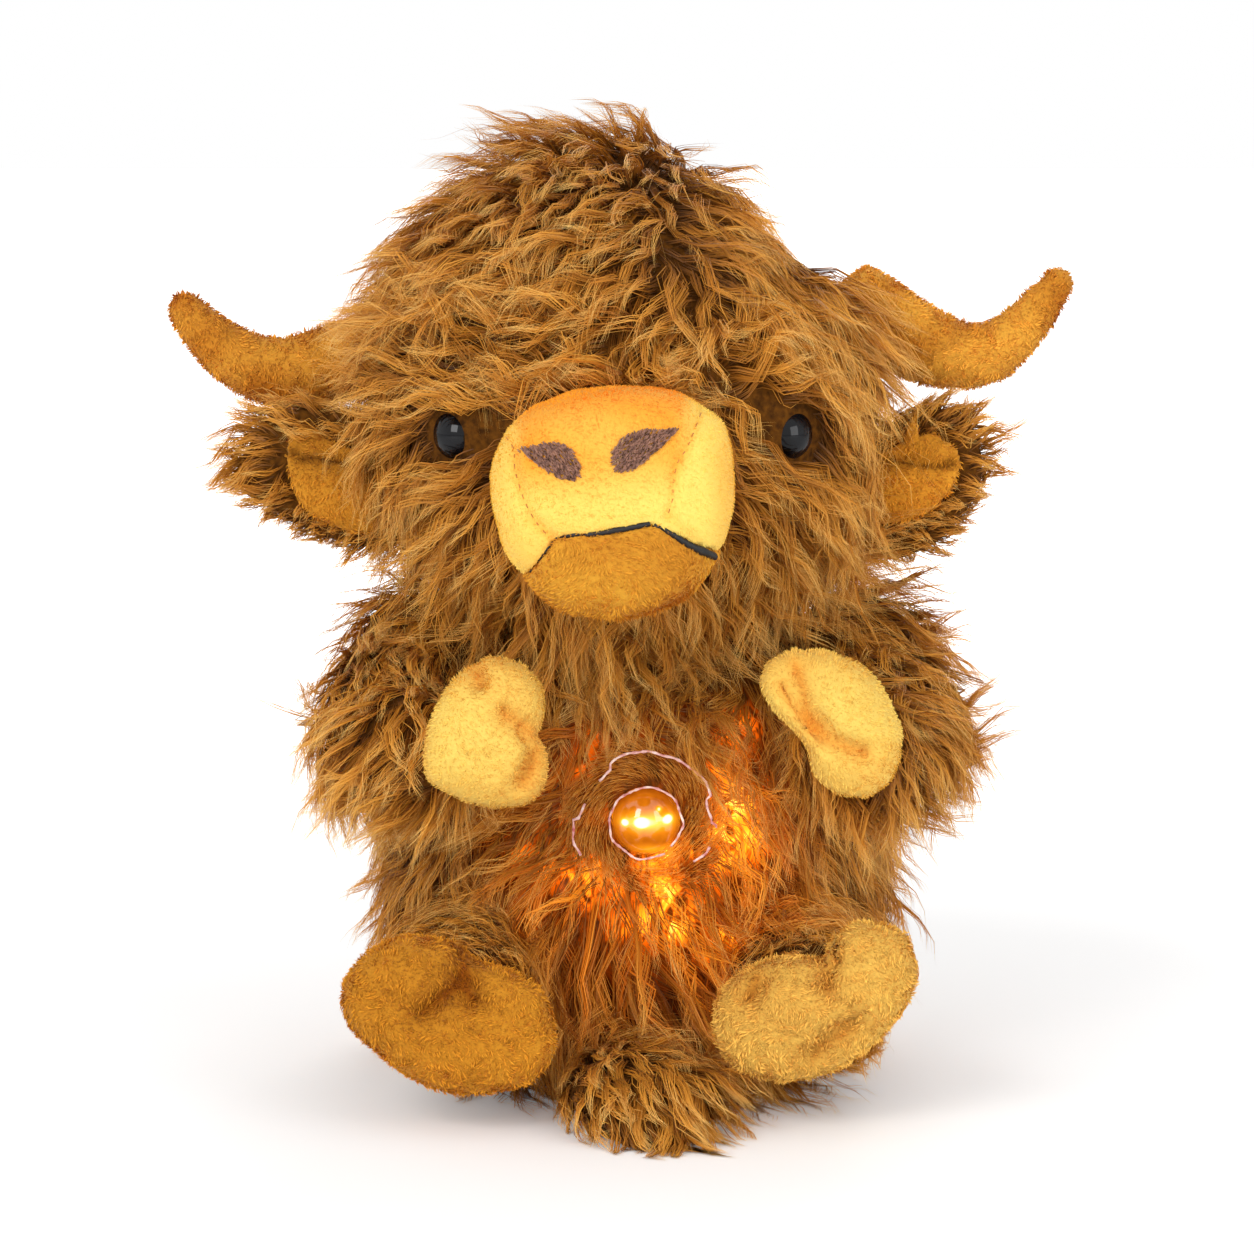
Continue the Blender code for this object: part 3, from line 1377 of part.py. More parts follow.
def build():
    clear_scene()
    finish = materials()
    toy = pivot("toy", (0, 0, 0))
    torso, torso_room = make_torso(toy, finish)
    head, head_room, face = make_head(toy, finish, torso_room)
    make_muzzle(face, finish, head_room)
    make_horn("horn_left", face, -1, HORN_LEFT_SHARES, HORN_RISE_LEFT_SHARE, finish, head_room)
    make_horn("horn_right", face, 1, HORN_RIGHT_SHARES, HORN_RISE_RIGHT_SHARE, finish, head_room)
    hands = {
        "left": (HAND_LEFT_WIDTH, HAND_LEFT_HEIGHT, 0, HAND_LEFT_AT, HAND_LEFT_SHARES),
        "right": (
            HAND_RIGHT_WIDTH, HAND_RIGHT_HEIGHT, HAND_RIGHT_TILT, HAND_RIGHT_AT, HAND_RIGHT_SHARES
        ),
    }
    feet = {
        "left": (FOOT_LEFT_WIDTH, FOOT_LEFT_HEIGHT, FOOT_LEFT_AT, FOOT_LEFT_SHARES),
        "right": (FOOT_RIGHT_WIDTH, FOOT_RIGHT_HEIGHT, FOOT_RIGHT_AT, FOOT_RIGHT_SHARES),
    }
    for word, side in (("left", -1), ("right", 1)):
        make_eye(word, side, face, finish, head)
        make_ear(word, side, face, finish, head)
        make_arm(word, side, toy, finish, torso, torso_room, head, hands[word])
        make_leg(word, side, toy, finish, torso, torso_room, feet[word])
    make_tail(toy, finish, torso)
    parting = make_module(toy, finish, torso)
    make_zip(toy, finish, torso, parting + rear_depth())
    stand_on_origin(toy)


build()
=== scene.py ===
# %% [markdown]
# # A shaggy plush cow with a lamp in its tummy
# This lesson dresses a imported CAD part as the real toy: long wavy pile, short velboa on the horns,
# paws and nose, glossy eyes and a glowing amber button.
# The CAD model is loaded first and never changes. Everything is in metres, with +Z up and the toy
# facing -Y.

import math

import bmesh
import bpy
import numpy as np
from mathutils import Matrix, Vector
from mathutils.bvhtree import BVHTree
from mathutils.kdtree import KDTree


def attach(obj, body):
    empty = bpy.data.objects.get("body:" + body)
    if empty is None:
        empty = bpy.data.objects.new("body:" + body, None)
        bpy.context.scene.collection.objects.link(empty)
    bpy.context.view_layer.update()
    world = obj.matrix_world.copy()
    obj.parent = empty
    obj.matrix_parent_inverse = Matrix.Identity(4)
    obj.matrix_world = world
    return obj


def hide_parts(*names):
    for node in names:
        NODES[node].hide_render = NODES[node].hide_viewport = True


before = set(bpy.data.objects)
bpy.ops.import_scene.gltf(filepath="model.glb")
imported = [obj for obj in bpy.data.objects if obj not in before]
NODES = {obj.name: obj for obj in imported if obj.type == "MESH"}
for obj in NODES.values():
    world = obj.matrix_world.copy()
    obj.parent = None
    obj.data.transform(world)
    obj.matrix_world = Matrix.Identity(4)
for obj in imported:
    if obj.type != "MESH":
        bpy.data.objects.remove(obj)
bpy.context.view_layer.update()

# %% [markdown]
# ## The camera
# The photograph looks a little down on the toy from about one and a half metres, with a long lens,
# so near and far parts keep almost the same scale.
# A camera can be pointed with a constraint, but a written rotation is exact and easy to read: it
# starts looking along -Z, so turning it by 90 degrees less the look-down angle about X aims it at
# the toy.

# %% Camera
LOOK_DOWN = math.radians(8)
CAMERA_DISTANCE = 1.5
TARGET = Vector((0.0017, 0.0358, 0.1325))

camera_data = bpy.data.cameras.new("camera")
camera_data.lens = 139.6
camera_data.sensor_width = 36
camera = bpy.data.objects.new("camera", camera_data)
camera.rotation_euler = (math.pi / 2 - LOOK_DOWN, 0, 0)
away = Vector((0, -math.cos(LOOK_DOWN), math.sin(LOOK_DOWN)))
camera.location = TARGET + away * CAMERA_DISTANCE
bpy.context.scene.collection.objects.link(camera)
bpy.context.scene.camera = camera
print("camera at", [round(value, 3) for value in camera.location])

# %% [markdown]
# Seams, stitches and creases go where the photograph shows them. Each is listed as points of the
# picture, 1254 pixels wide and high, and a line of sight from the camera through such a point is
# followed until it meets the form that carries the stitch.

# %% From a point of the picture to a place on a form
PICTURE = 1254


def sight(column, row):
    """The direction from the camera through a point of the picture."""
    wide = (column - PICTURE / 2) / PICTURE * camera_data.sensor_width
    high = (PICTURE / 2 - row) / PICTURE * camera_data.sensor_width
    return (camera.rotation_euler.to_matrix() @ Vector((wide, high, -camera_data.lens))).normalized()


def traced(line, tree, lift=0.0):
    """Places on a surface that lie behind the given points of the picture, lifted off it."""
    places = []
    for column, row in line:
        spot, normal, _, _ = tree.ray_cast(camera.location, sight(column, row))
        if spot is not None:
            places.append(spot + normal * lift)
    return np.array(places)

# %% [markdown]
# ## One helper for nodes, one for colours
# Every finish below is a small network of shader nodes. Writing each node out takes four lines, so
# one function adds a node, sets its sockets or properties and links what feeds it.
# Colours are written as people know them, in sRGB hex, and Blender calculates with linear light,
# so one function turns the first into the second.

# %% Node and colour helpers
def linear(hex_colour):
    """An sRGB colour such as #C0FFEE as linear red, green, blue and alpha."""
    shares = [int(hex_colour[start : start + 2], 16) / 255 for start in (1, 3, 5)]
    return [s / 12.92 if s <= 0.04045 else ((s + 0.055) / 1.055) ** 2.4 for s in shares] + [1]


def add(tree, kind, settings=None, links=None):
    """Adds a shader node with its settings and links, each by the name or number of a socket."""
    node = tree.nodes.new("ShaderNode" + kind)
    for name, value in (settings or {}).items():
        if name == "stops":
            while len(node.color_ramp.elements) < len(value):
                node.color_ramp.elements.new(0.5)
            for element, (place, colour) in zip(node.color_ramp.elements, value):
                element.position = place
                element.color = linear(colour)
        elif isinstance(name, int) or name in node.inputs:
            node.inputs[name].default_value = value
        else:
            setattr(node, name, value)
    for name, source in (links or {}).items():
        tree.links.new(source, node.inputs[name])
    return node


def surface(name, sockets):
    """A new material, its node tree and its shader, with the shader's own sockets set."""
    made = bpy.data.materials.new(name)
    made.use_nodes = True
    shader = made.node_tree.nodes["Principled BSDF"]
    for socket, value in sockets.items():
        shader.inputs[socket].default_value = value
    return made, made.node_tree, shader


# %% [markdown]
# ## The room
# A plain pale floor and an even studio light show colours as they are.
# The white behind the toy comes from the world, seen directly or in a reflection at strength 1,
# while the light that falls on the toy is dimmer, so pale pile keeps its colour. The floor glows
# white to the camera only further off, so that the shadow under the toy stays.
# Two large soft lamps, high in front, give the pile its gloss and a gentle shadow.

# %% Floor, world and lamps
TUMMY = Vector((0, 0, 0.13))


def make_floor():
    shape = bmesh.new()
    bmesh.ops.create_grid(shape, x_segments=1, y_segments=1, size=6)
    mesh = bpy.data.meshes.new("floor")
    shape.to_mesh(mesh)
    shape.free()
    floor = bpy.data.objects.new("floor", mesh)
    bpy.context.scene.collection.objects.link(floor)
    paper, tree, shader = surface("floor_paper", {"Roughness": 0.9, "Specular IOR Level": 0.1})
    grain = add(tree, "TexNoise", {"Scale": 40.0, "Detail": 3.0})
    tone = add(tree, "ValToRGB", {"stops": [(0.3, "#F9F9F9"), (0.7, "#FCFCFC")]}, {0: grain.outputs[0]})
    tree.links.new(tone.outputs[0], shader.inputs["Base Color"])
    path = add(tree, "LightPath")
    place = add(tree, "TexCoord").outputs["Object"]
    far = add(tree, "VectorMath", {"operation": "LENGTH"}, {0: place})
    fade = add(tree, "MapRange", {"From Min": 0.25, "From Max": 1.1, "To Min": 0.14, "To Max": 1.0},
               {"Value": far.outputs["Value"]})
    white = add(tree, "Emission", {"Color": (1, 1, 1, 1), "Strength": 0.0})
    seen = add(tree, "Math", {"operation": "MULTIPLY"},
               {0: path.outputs["Is Camera Ray"], 1: fade.outputs[0]})
    tree.links.new(seen.outputs[0], white.inputs["Strength"])
    both = add(tree, "AddShader", {}, {0: shader.outputs[0], 1: white.outputs[0]})
    tree.links.new(both.outputs[0], tree.nodes["Material Output"].inputs["Surface"])
    mesh.materials.append(paper)


def make_world(strength):
    world = bpy.data.worlds.new("studio")
    world.use_nodes = True
    tree = world.node_tree
    path = add(tree, "LightPath")
    bounced = add(tree, "Math", {"operation": "MAXIMUM"},
                  {0: path.outputs["Is Glossy Ray"], 1: path.outputs["Is Transmission Ray"]})
    seen = add(tree, "Math", {"operation": "MAXIMUM"},
               {0: path.outputs["Is Camera Ray"], 1: bounced.outputs[0]})
    level = add(tree, "MapRange", {"To Min": strength, "To Max": 1.0}, {"Value": seen.outputs[0]})
    back = tree.nodes["Background"]
    back.inputs["Color"].default_value = (1, 1, 1, 1)
    tree.links.new(level.outputs[0], back.inputs["Strength"])
    bpy.context.scene.world = world


def make_lamp(name, place, size, power):
    lamp = bpy.data.lights.new(name, "AREA")
    lamp.size = size
    lamp.energy = power
    shown = bpy.data.objects.new(name, lamp)
    shown.location = place
    aim = TUMMY - Vector(place)
    shown.rotation_euler = aim.to_track_quat("-Z", "Y").to_euler()
    bpy.context.scene.collection.objects.link(shown)


make_floor()
make_world(0.64)
make_lamp("key", (-0.9, -1.4, 0.95), 0.9, 15.5)
make_lamp("fill", (1.2, -1.2, 0.6), 1.0, 9.5)
make_lamp("back", (0.3, 1.4, 1.3), 1.0, 8)
bpy.context.scene.view_settings.view_transform = "Standard"

# %% [markdown]
# ## Meshes from arrays
# The pile has tens of thousands of hairs, so its points are worked out in NumPy and handed to
# Blender in one go, which is far faster than adding them one by one.
# Each hair's colour is looked up on a small map: across the map a column for its shade, and up the
# map from root to tip. The map is stored with the mesh, so the finish travels with it.

# %% Reading and writing meshes
def mesh_of(points, triangles, name, columns=None):
    """A mesh from arrays of points and triangles, with its map if each point has a place on it."""
    mesh = bpy.data.meshes.new(name)
    mesh.vertices.add(len(points))
    mesh.vertices.foreach_set("co", points.astype(np.float32).ravel())
    mesh.loops.add(triangles.size)
    mesh.loops.foreach_set("vertex_index", triangles.astype(np.int32).ravel())
    mesh.polygons.add(len(triangles))
    mesh.polygons.foreach_set("loop_start", np.arange(0, triangles.size, 3, dtype=np.int32))
    mesh.update(calc_edges=True)
    if columns is not None:
        layer = mesh.uv_layers.new(name="OFBake")
        layer.data.foreach_set("uv", columns[triangles.ravel()].astype(np.float32).ravel())
    mesh.shade_smooth()
    return mesh


def shown(name, mesh, finish):
    """A new object that shows a mesh in one finish."""
    item = bpy.data.objects.new(name, mesh)
    mesh.materials.clear()
    mesh.materials.append(finish)
    bpy.context.scene.collection.objects.link(item)
    return item


def read(mesh, part="vertices", field="co"):
    """A mesh's points or normals as an array."""
    source = getattr(mesh, part)
    values = np.empty(len(source) * 3, np.float32)
    source.foreach_get(field, values)
    return values.reshape(-1, 3).astype(float)


def triangles_of(mesh):
    mesh.calc_loop_triangles()
    values = np.empty(len(mesh.loop_triangles) * 3, np.int32)
    mesh.loop_triangles.foreach_get("vertices", values)
    return values.reshape(-1, 3)


def unit(vectors):
    """Vectors brought to length one."""
    return vectors / np.maximum(np.linalg.norm(vectors, axis=-1, keepdims=True), 1e-12)


def dots(a, b):
    return np.sum(a * b, axis=-1, keepdims=True)


def smooth_step(values, low, high):
    """A share that rises smoothly from 0 at low to 1 at high."""
    share = np.clip((values - low) / (high - low), 0, 1)
    return share * share * (3 - 2 * share)


def waves(points, size, seed):
    """A smooth random vector at each point, which changes over about this distance."""
    rng = np.random.default_rng(seed)
    total = np.zeros_like(points)
    for _ in range(5):
        heading = rng.normal(size=(3, 3)) * (2 / size)
        total += np.sin(points @ heading + rng.uniform(0, 7, 3))
    return total / 2.2


# %% [markdown]
# ## Stuffed forms
# A plush part is a bag sewn from flat pieces and filled until it is round.
# The CAD solids already have each bag's outline, in flat facets. A voxel remesh turns one into an
# even skin, and smoothing rounds it as stuffing does. The body and the head are first wrapped in
# their hull, which closes the sockets that the CAD solids need and a sewn skin doesn't have.

# %% Remeshing a CAD solid as a stuffed form
def copied(node, hull=False):
    """A copy of a CAD node's mesh, whole or wrapped."""
    shape = bmesh.new()
    shape.from_mesh(NODES[node].data)
    bmesh.ops.remove_doubles(shape, verts=shape.verts, dist=1e-6)
    if hull:
        wrapped = bmesh.ops.convex_hull(shape, input=shape.verts)
        spare = wrapped["geom_interior"] + wrapped["geom_unused"]
        loose = [part for part in spare if isinstance(part, bmesh.types.BMVert)]
        bmesh.ops.delete(shape, geom=loose, context="VERTS")
        holes = [face for face in wrapped["geom_holes"] if face.is_valid]
        bmesh.ops.delete(shape, geom=holes, context="FACES_ONLY")
    mesh = bpy.data.meshes.new(node + "_copy")
    shape.to_mesh(mesh)
    shape.free()
    return mesh


def stuffed(name, mesh, voxel, rounds):
    """The mesh as a smooth form of small even faces."""
    form = bpy.data.objects.new(name, mesh)
    bpy.context.scene.collection.objects.link(form)
    remesh = form.modifiers.new("remesh", "REMESH")
    remesh.mode = "VOXEL"
    remesh.voxel_size = voxel
    smooth = form.modifiers.new("smooth", "SMOOTH")
    smooth.iterations = rounds
    graph = bpy.context.evaluated_depsgraph_get()
    made = bpy.data.meshes.new_from_object(form.evaluated_get(graph))
    form.modifiers.clear()
    form.data = made
    made.shade_smooth()
    return form


def tree_of(items):
    """A search tree over the faces of several objects."""
    points, faces, start = [], [], 0
    for item in items:
        places = read(item.data)
        points.append(places)
        faces.append(triangles_of(item.data) + start)
        start += len(places)
    return BVHTree.FromPolygons(np.concatenate(points).tolist(), np.concatenate(faces).tolist())


def move_points(item, places):
    item.data.vertices.foreach_set("co", places.astype(np.float32).ravel())
    item.data.update()


# %% [markdown]
# ## Velboa pieces
# Horns, paws, nose, lip and ear linings are velboa: a knitted polyester with a pile of about a
# millimetre. Each is a closed bag, pinched where a seam or a hand stitch pulls it in.
# A pinch is made by moving the skin inwards near a line, deepest on the line and fading over a few
# millimetres, which looks the same from all sides.

# %% Pinches along lines
def smooth_line(points, density=1.2):
    """A denser line through the points, rounded at its corners."""
    points = np.array(points, float)
    padded = np.concatenate([2 * points[:1] - points[1:2], points, 2 * points[-1:] - points[-2:-1]])
    rows = []
    for a, b, c, d in zip(padded[:-3], padded[1:-2], padded[2:-1], padded[3:]):
        count = max(2, int(np.linalg.norm(c - b) * density))
        for t in np.arange(count) / count:
            rows.append((2 * b + (c - a) * t + (2 * a - 5 * b + 4 * c - d) * t**2
                         + (3 * b - a - 3 * c + d) * t**3) / 2)
    return np.array(rows + [points[-1]])


def line_distance(places, line):
    """Distance in millimetres of each place from a line of places."""
    least = np.full(len(places), np.inf)
    for start, end in zip(line[:-1], line[1:]):
        along = end - start
        share = np.clip(((places - start) @ along) / (along @ along), 0, 1)
        gap = np.linalg.norm(places - start - share[:, None] * along, axis=1)
        least = np.minimum(least, gap)
    return least * 1000


def near_line(places, line, width):
    return np.exp(-((line_distance(places, line) / width) ** 2))


def pinch(form, line, depth, width):
    """Pulls a form in near a line on it, by a depth in millimetres."""
    places, normals = read(form.data), read(form.data, "vertex_normals", "vector")
    near = near_line(places, line, width) * np.clip(-normals[:, 1] + 0.4, 0, 1)
    move_points(form, places - normals * (near * depth / 1000)[:, None])


def puff(form, size, height, seed):
    """Low uneven swellings, such as stuffing leaves under the skin."""
    places, normals = read(form.data), read(form.data, "vertex_normals", "vector")
    move_points(form, places + normals * (waves(places, size, seed)[:, :1] * height))


# %% [markdown]
# The CAD bags are simple ovals. The real ones have a notch where the thumb or the toes are drawn in,
# and a squarer end. Each outline is listed as picture points, and the form is stretched or drawn in
# sideways, as seen from the camera, until its own outline matches. The middle hardly moves.

# %% Fitting a form's outline
OUTLINES = {
    ("muzzle_upper", "muzzle_lower"): [
        (490, 475), (491, 493), (497, 524), (508, 555), (524, 574), (539, 593), (555, 606), (575, 613),
        (606, 617), (629, 617), (655, 611), (682, 598), (698, 584), (709, 569), (721, 549), (730, 522),
        (734, 495), (733, 468), (729, 439), (718, 417), (698, 404), (678, 392), (655, 388), (629, 386),
        (602, 387), (575, 390), (550, 399), (528, 410), (510, 428), (497, 450)],
    ("hand_left",): [
        (472, 666), (453, 681), (439, 704), (430, 725), (426, 750), (426, 771), (433, 783), (453, 795),
        (477, 804), (505, 807), (530, 802), (542, 788), (547, 767), (544, 748), (536, 739), (535, 734),
        (541, 723), (544, 706), (540, 685), (527, 669), (509, 660), (488, 658)],
    ("hand_right",): [
        (793, 650), (774, 659), (762, 676), (763, 690), (772, 708), (786, 722), (800, 736), (809, 751),
        (812, 767), (819, 780), (835, 792), (856, 798), (873, 795), (891, 778), (900, 757), (903, 736),
        (898, 715), (887, 694), (870, 673), (849, 657), (824, 650)],
    ("foot_left",): [
        (390, 940), (368, 952), (350, 972), (343, 996), (346, 1017), (360, 1037), (384, 1057),
        (404, 1073), (432, 1087), (461, 1093), (493, 1092), (517, 1087), (537, 1077), (551, 1059),
        (554, 1037), (551, 1013), (539, 990), (521, 976), (501, 968), (481, 962), (467, 953), (455, 944),
        (436, 938), (412, 935)],
    ("foot_right",): [
        (827, 964), (832, 960), (829, 948), (838, 932), (854, 923), (876, 922), (899, 930), (913, 952),
        (916, 976), (909, 1000), (890, 1025), (866, 1049), (834, 1069), (802, 1079), (774, 1079),
        (746, 1072), (726, 1057), (716, 1037), (716, 1013), (722, 992), (738, 974), (762, 962),
        (786, 957), (810, 959)],
    ("ear_lining_left",): [
        (286, 447), (289, 438), (297, 435), (313, 435), (325, 439), (342, 446), (362, 452), (378, 466),
        (386, 490), (385, 515), (370, 533), (349, 531), (328, 523), (313, 516), (299, 499), (292, 481),
        (288, 465)],
    ("ear_lining_right",): [
        (871, 470), (877, 456), (900, 445), (929, 434), (945, 440), (958, 450), (961, 462), (955, 481),
        (944, 497), (929, 511), (910, 519), (890, 523), (868, 522), (862, 500)],
}


def in_picture(places):
    """Columns, rows and distance of places, as the camera sees them."""
    local = (places - np.array(camera.location)) @ np.array(camera.rotation_euler.to_matrix())
    scale = camera_data.lens / camera_data.sensor_width * PICTURE / -local[:, 2]
    return PICTURE / 2 + local[:, 0] * scale, PICTURE / 2 - local[:, 1] * scale, scale


SECTORS = 72  # directions round a form's middle, 5 degrees each, in which its reach is measured


def mould(names, outline, forms):
    """Moves the edge of some forms, taken together, onto an outline of picture points."""
    edge = smooth_line(outline + outline[:1], 0.5)
    middle = edge.mean(axis=0)
    want = edge - middle
    want_turn, want_reach = np.arctan2(want[:, 1], want[:, 0]), np.hypot(want[:, 0], want[:, 1])
    order = np.argsort(want_turn)
    seen = {name: in_picture(read(forms[name].data)) for name in names}
    columns, rows = (np.concatenate([seen[name][i] for name in names]) - middle[i] for i in (0, 1))
    bins = np.floor((np.arctan2(rows, columns) / math.pi + 1) * SECTORS / 2).astype(int) % SECTORS
    reach = np.zeros(SECTORS)
    np.maximum.at(reach, bins, np.hypot(columns, rows))
    reach = (reach + np.roll(reach, 1) / 2 + np.roll(reach, -1) / 2) / 2
    centres = (np.arange(SECTORS) + 0.5) / (SECTORS / 2) * math.pi - math.pi
    right, up = (np.array(camera.rotation_euler.to_matrix())[:, i] for i in (0, 1))
    for name in names:
        column, row, scale = seen[name][0] - middle[0], seen[name][1] - middle[1], seen[name][2]
        turn, far = np.arctan2(row, column), np.hypot(column, row)
        target = np.interp(turn, want_turn[order], want_reach[order], period=2 * math.pi)
        present = np.interp(turn, centres, reach, period=2 * math.pi)
        grow = (target / present - 1) * np.clip(far / present, 0, 1) ** 1.5
        shift = (column * grow / scale)[:, None] * right - (row * grow / scale)[:, None] * up
        move_points(forms[name], read(forms[name].data) + shift)
        print(name, "moved by up to", round(np.linalg.norm(shift, axis=1).max() * 1000, 1), "mm")


# %% [markdown]
# The colour of each velboa piece isn't even. It is kept as one number per point, the depth of colour
# from 0 to 1, which both the skin and its nap take their colour from. Part of it is the fabric's own
# colour, such as the orange top of the nose, and part is painted shade: deeper in the creases and
# seams, at the nose's sides, low on the lip and all over the left horn, foot and ear lining.

# %% Depth of colour over the velboa pieces
CREASES = {
    "muzzle_upper": ([(506, 437), (514, 450), (515, 470), (525, 502), (539, 526), (551, 538)],
                     [(701, 413), (688, 446), (678, 462), (673, 484), (673, 497), (668, 515)],
                     [(668, 516), (686, 532), (708, 549)], [(551, 538), (541, 528), (528, 520)]),
    "hand_left": ([(537, 736), (521, 725), (505, 713)], [(538, 752), (532, 768), (524, 782)],
                  [(477, 667), (479, 680)]),
    "hand_right": ([(796, 666), (803, 690), (807, 711), (816, 729)], [(816, 730), (835, 743), (863, 753)],
                   [(781, 687), (793, 708), (810, 725)]),
    "foot_left": ([(461, 952), (463, 976), (445, 994), (423, 1012)], [(463, 978), (473, 1000)]),
    "foot_right": ([(830, 958), (828, 972), (827, 988)], [(814, 1057), (830, 1041), (854, 1029)],
                   [(756, 980), (750, 996)]),
    "ear_lining_left": ([(293, 454), (307, 460), (323, 460), (344, 463), (372, 470)],),
    "ear_lining_right": ([(966, 458), (940, 466), (905, 463), (868, 460)],),
}
# depth and width of each seam's furrow in millimetres
PINCH = {"muzzle": (1.1, 1.6), "hand": (4.4, 3.2), "foot": (5.0, 4.0), "ear": (3.0, 2.2)}
creases = {}


def on_form(lines, form):
    """Lines of picture points as lines of places on a form."""
    tree = tree_of([form])
    return [traced(smooth_line(line, 0.1), tree) for line in lines]


def nose_depth(places):
    """Orange on top of the nose, pale yellow in front, and painted shade at the sides and seams."""
    seams = sum(near_line(places, line, 1.3) for line in creases["muzzle_upper"])
    rise = smooth_step(places[:, 2], 0.183, 0.199)
    left = smooth_step(places[:, 0], -0.033, -0.026)
    right = smooth_step(-places[:, 0], -0.022 - 0.2 * (places[:, 2] - 0.2), -0.014)
    sides = smooth_step(np.abs(places[:, 0] + 0.003), 0.026, 0.034) * (1.2 + 0.7 * (places[:, 0] > 0))
    return np.clip(0.06 + 0.85 * rise * left * right + 0.14 * sides + 0.2 * seams
                   + 0.12 * waves(places, 0.02, 5)[:, 0], 0, 1)


def lip_depth(places):
    """Deeper low on the lip, where it turns away from the light."""
    rise = smooth_step(places[:, 2], 0.145, 0.160)
    return np.clip(0.85 - 0.6 * rise + 0.25 * waves(places, 0.018, 6)[:, 0], 0, 1)


def painted_crease_shade(node, base, broad=0.32, thin=0.4, width=1.9):
    """Painted shade near the creases of a piece: a thin line in a soft broad band, on a base depth."""
    def depth(places):
        total = base + 0.16 * waves(places, 0.02, 7)[:, 0]
        for line in creases[node]:
            total = total + broad * near_line(places, line, 7.0) + thin * near_line(places, line, width)
        return np.clip(total, 0, 1)
    return depth


def horn_depth(base):
    """Deeper towards the tips; the left horn's higher base is painted shade."""
    def depth(places):
        tip = smooth_step(np.abs(places[:, 0]), 0.115, 0.137)
        return np.clip(base + 0.45 * tip + 0.33 * waves(places, 0.016, 8)[:, 0], 0, 1)
    return depth


# %% [markdown]
# Every hair and tuft of nap below keeps what its colour needs in one place on the map. Across, the
# map has eight columns, one for each level of a main value, such as the depth of colour or the
# lamp's light, and the place inside its column is the hair's own shade. Up the map is the height
# along the hair.

# %% Reading a hair's map
LEVELS = 7  # steps of the main value, from 0 to 1


def hair_map(tree):
    """The main value, the shade and the height along a hair, each from 0 to 1, as sockets."""
    spot = add(tree, "SeparateXYZ", {}, {0: add(tree, "UVMap", {"uv_map": "OFBake"}).outputs[0]})
    column = add(tree, "Math", {"operation": "MULTIPLY", 1: LEVELS + 1}, {0: spot.outputs["X"]})
    whole = add(tree, "Math", {"operation": "FLOOR"}, {0: column.outputs[0]})
    value = add(tree, "Math", {"operation": "DIVIDE", 1: LEVELS}, {0: whole.outputs[0]})
    shade = add(tree, "Math", {"operation": "FRACT"}, {0: column.outputs[0]})
    return value.outputs[0], shade.outputs[0], spot.outputs["Y"]


# %% [markdown]
# Velboa is a knit with cut polyester pile, heat-set and brushed one way. It has a soft sheen at
# the edges and no sharp highlight. The skin under the nap gets the same colours with a fine
# mottle; real pile is 0.1 mm apart, and it is drawn at about 0.6 mm so that it shows at this size.

# %% The velboa finish
def velboa(name, pale, deep, nap, contrast):
    """Brushed velboa: as the skin of a form, or as the nap that stands on it."""
    made, tree, shader = surface(name, {
        "Roughness": 0.8, "Specular IOR Level": 0.1, "Sheen Weight": 0.06, "Sheen Roughness": 0.5})
    if nap:
        depth, shade, height = hair_map(tree)
        # The nap is painted darker at the root and paler at the tip, and paler on the ridges than in the
        # lanes: painted shade and highlight.
        rise = add(tree, "MapRange", {"To Min": 1 - contrast, "To Max": 1 + contrast * 0.5},
                   {"Value": height})
        vary = add(tree, "MapRange", {"To Min": 1 - contrast * 0.9, "To Max": 1 + contrast * 0.7},
                   {"Value": shade})
        light = add(tree, "Math", {"operation": "MULTIPLY"}, {0: rise.outputs[0], 1: vary.outputs[0]})
    else:
        depth = add(tree, "Attribute", {"attribute_name": "depth"}).outputs["Fac"]
        place = add(tree, "TexCoord").outputs["Object"]
        mottle = add(tree, "TexNoise", {"Scale": 1500.0, "Detail": 2.0}, {"Vector": place})
        light = add(tree, "MapRange", {"To Min": 1 - contrast, "To Max": 1.02}, {"Value": mottle.outputs[0]})
        bump = add(tree, "Bump", {"Strength": 0.5, "Distance": 0.0006}, {"Height": mottle.outputs[0]})
        tree.links.new(bump.outputs[0], shader.inputs["Normal"])
    tone = add(tree, "ValToRGB", {"stops": [(0.0, pale), (1.0, deep)]}, {0: depth})
    shaded = add(tree, "VectorMath", {"operation": "SCALE"}, {0: tone.outputs[0], "Scale": light.outputs[0]})
    tree.links.new(shaded.outputs[0], shader.inputs["Base Color"])
    return made


# %% [markdown]
# ## Hairs as ribbons
# Hair can be a curve, a card or a tube. A curve object doesn't leave Blender with its thickness,
# and a tube costs three times the faces, so each hair here is a ribbon that narrows to a point and
# turns a little, wide enough to stand for a few real fibres of 0.05 mm.
# The ribbon's flat side faces about the way the skin does, turned at random by up to 60 degrees.

# %% Ribbons and roots
LARGEST_TURN = 1.05
FLOOR_GAP = 0.0004  # no hair goes through the floor


def scatter(item, per_mm2, rng):
    """Places spread evenly by area over an object, with the smooth normal of the skin there."""
    places, normals = read(item.data), read(item.data, "vertex_normals", "vector")
    corners = triangles_of(item.data)
    a, b, c = (places[corners[:, i]] for i in range(3))
    area = np.linalg.norm(np.cross(b - a, c - a), axis=1) / 2
    count = int(area.sum() * 1e6 * per_mm2)
    pick = np.searchsorted(np.cumsum(area) / area.sum(), rng.uniform(0, 1, count))
    pick = np.minimum(pick, len(corners) - 1)
    u, v = rng.uniform(0, 1, (2, count, 1))
    over = u + v > 1
    u, v = np.where(over, 1 - u, u), np.where(over, 1 - v, v)
    blend = lambda values: (values[corners[pick, 0]] * (1 - u - v)
                            + values[corners[pick, 1]] * u + values[corners[pick, 2]] * v)
    return blend(places), unit(blend(normals))


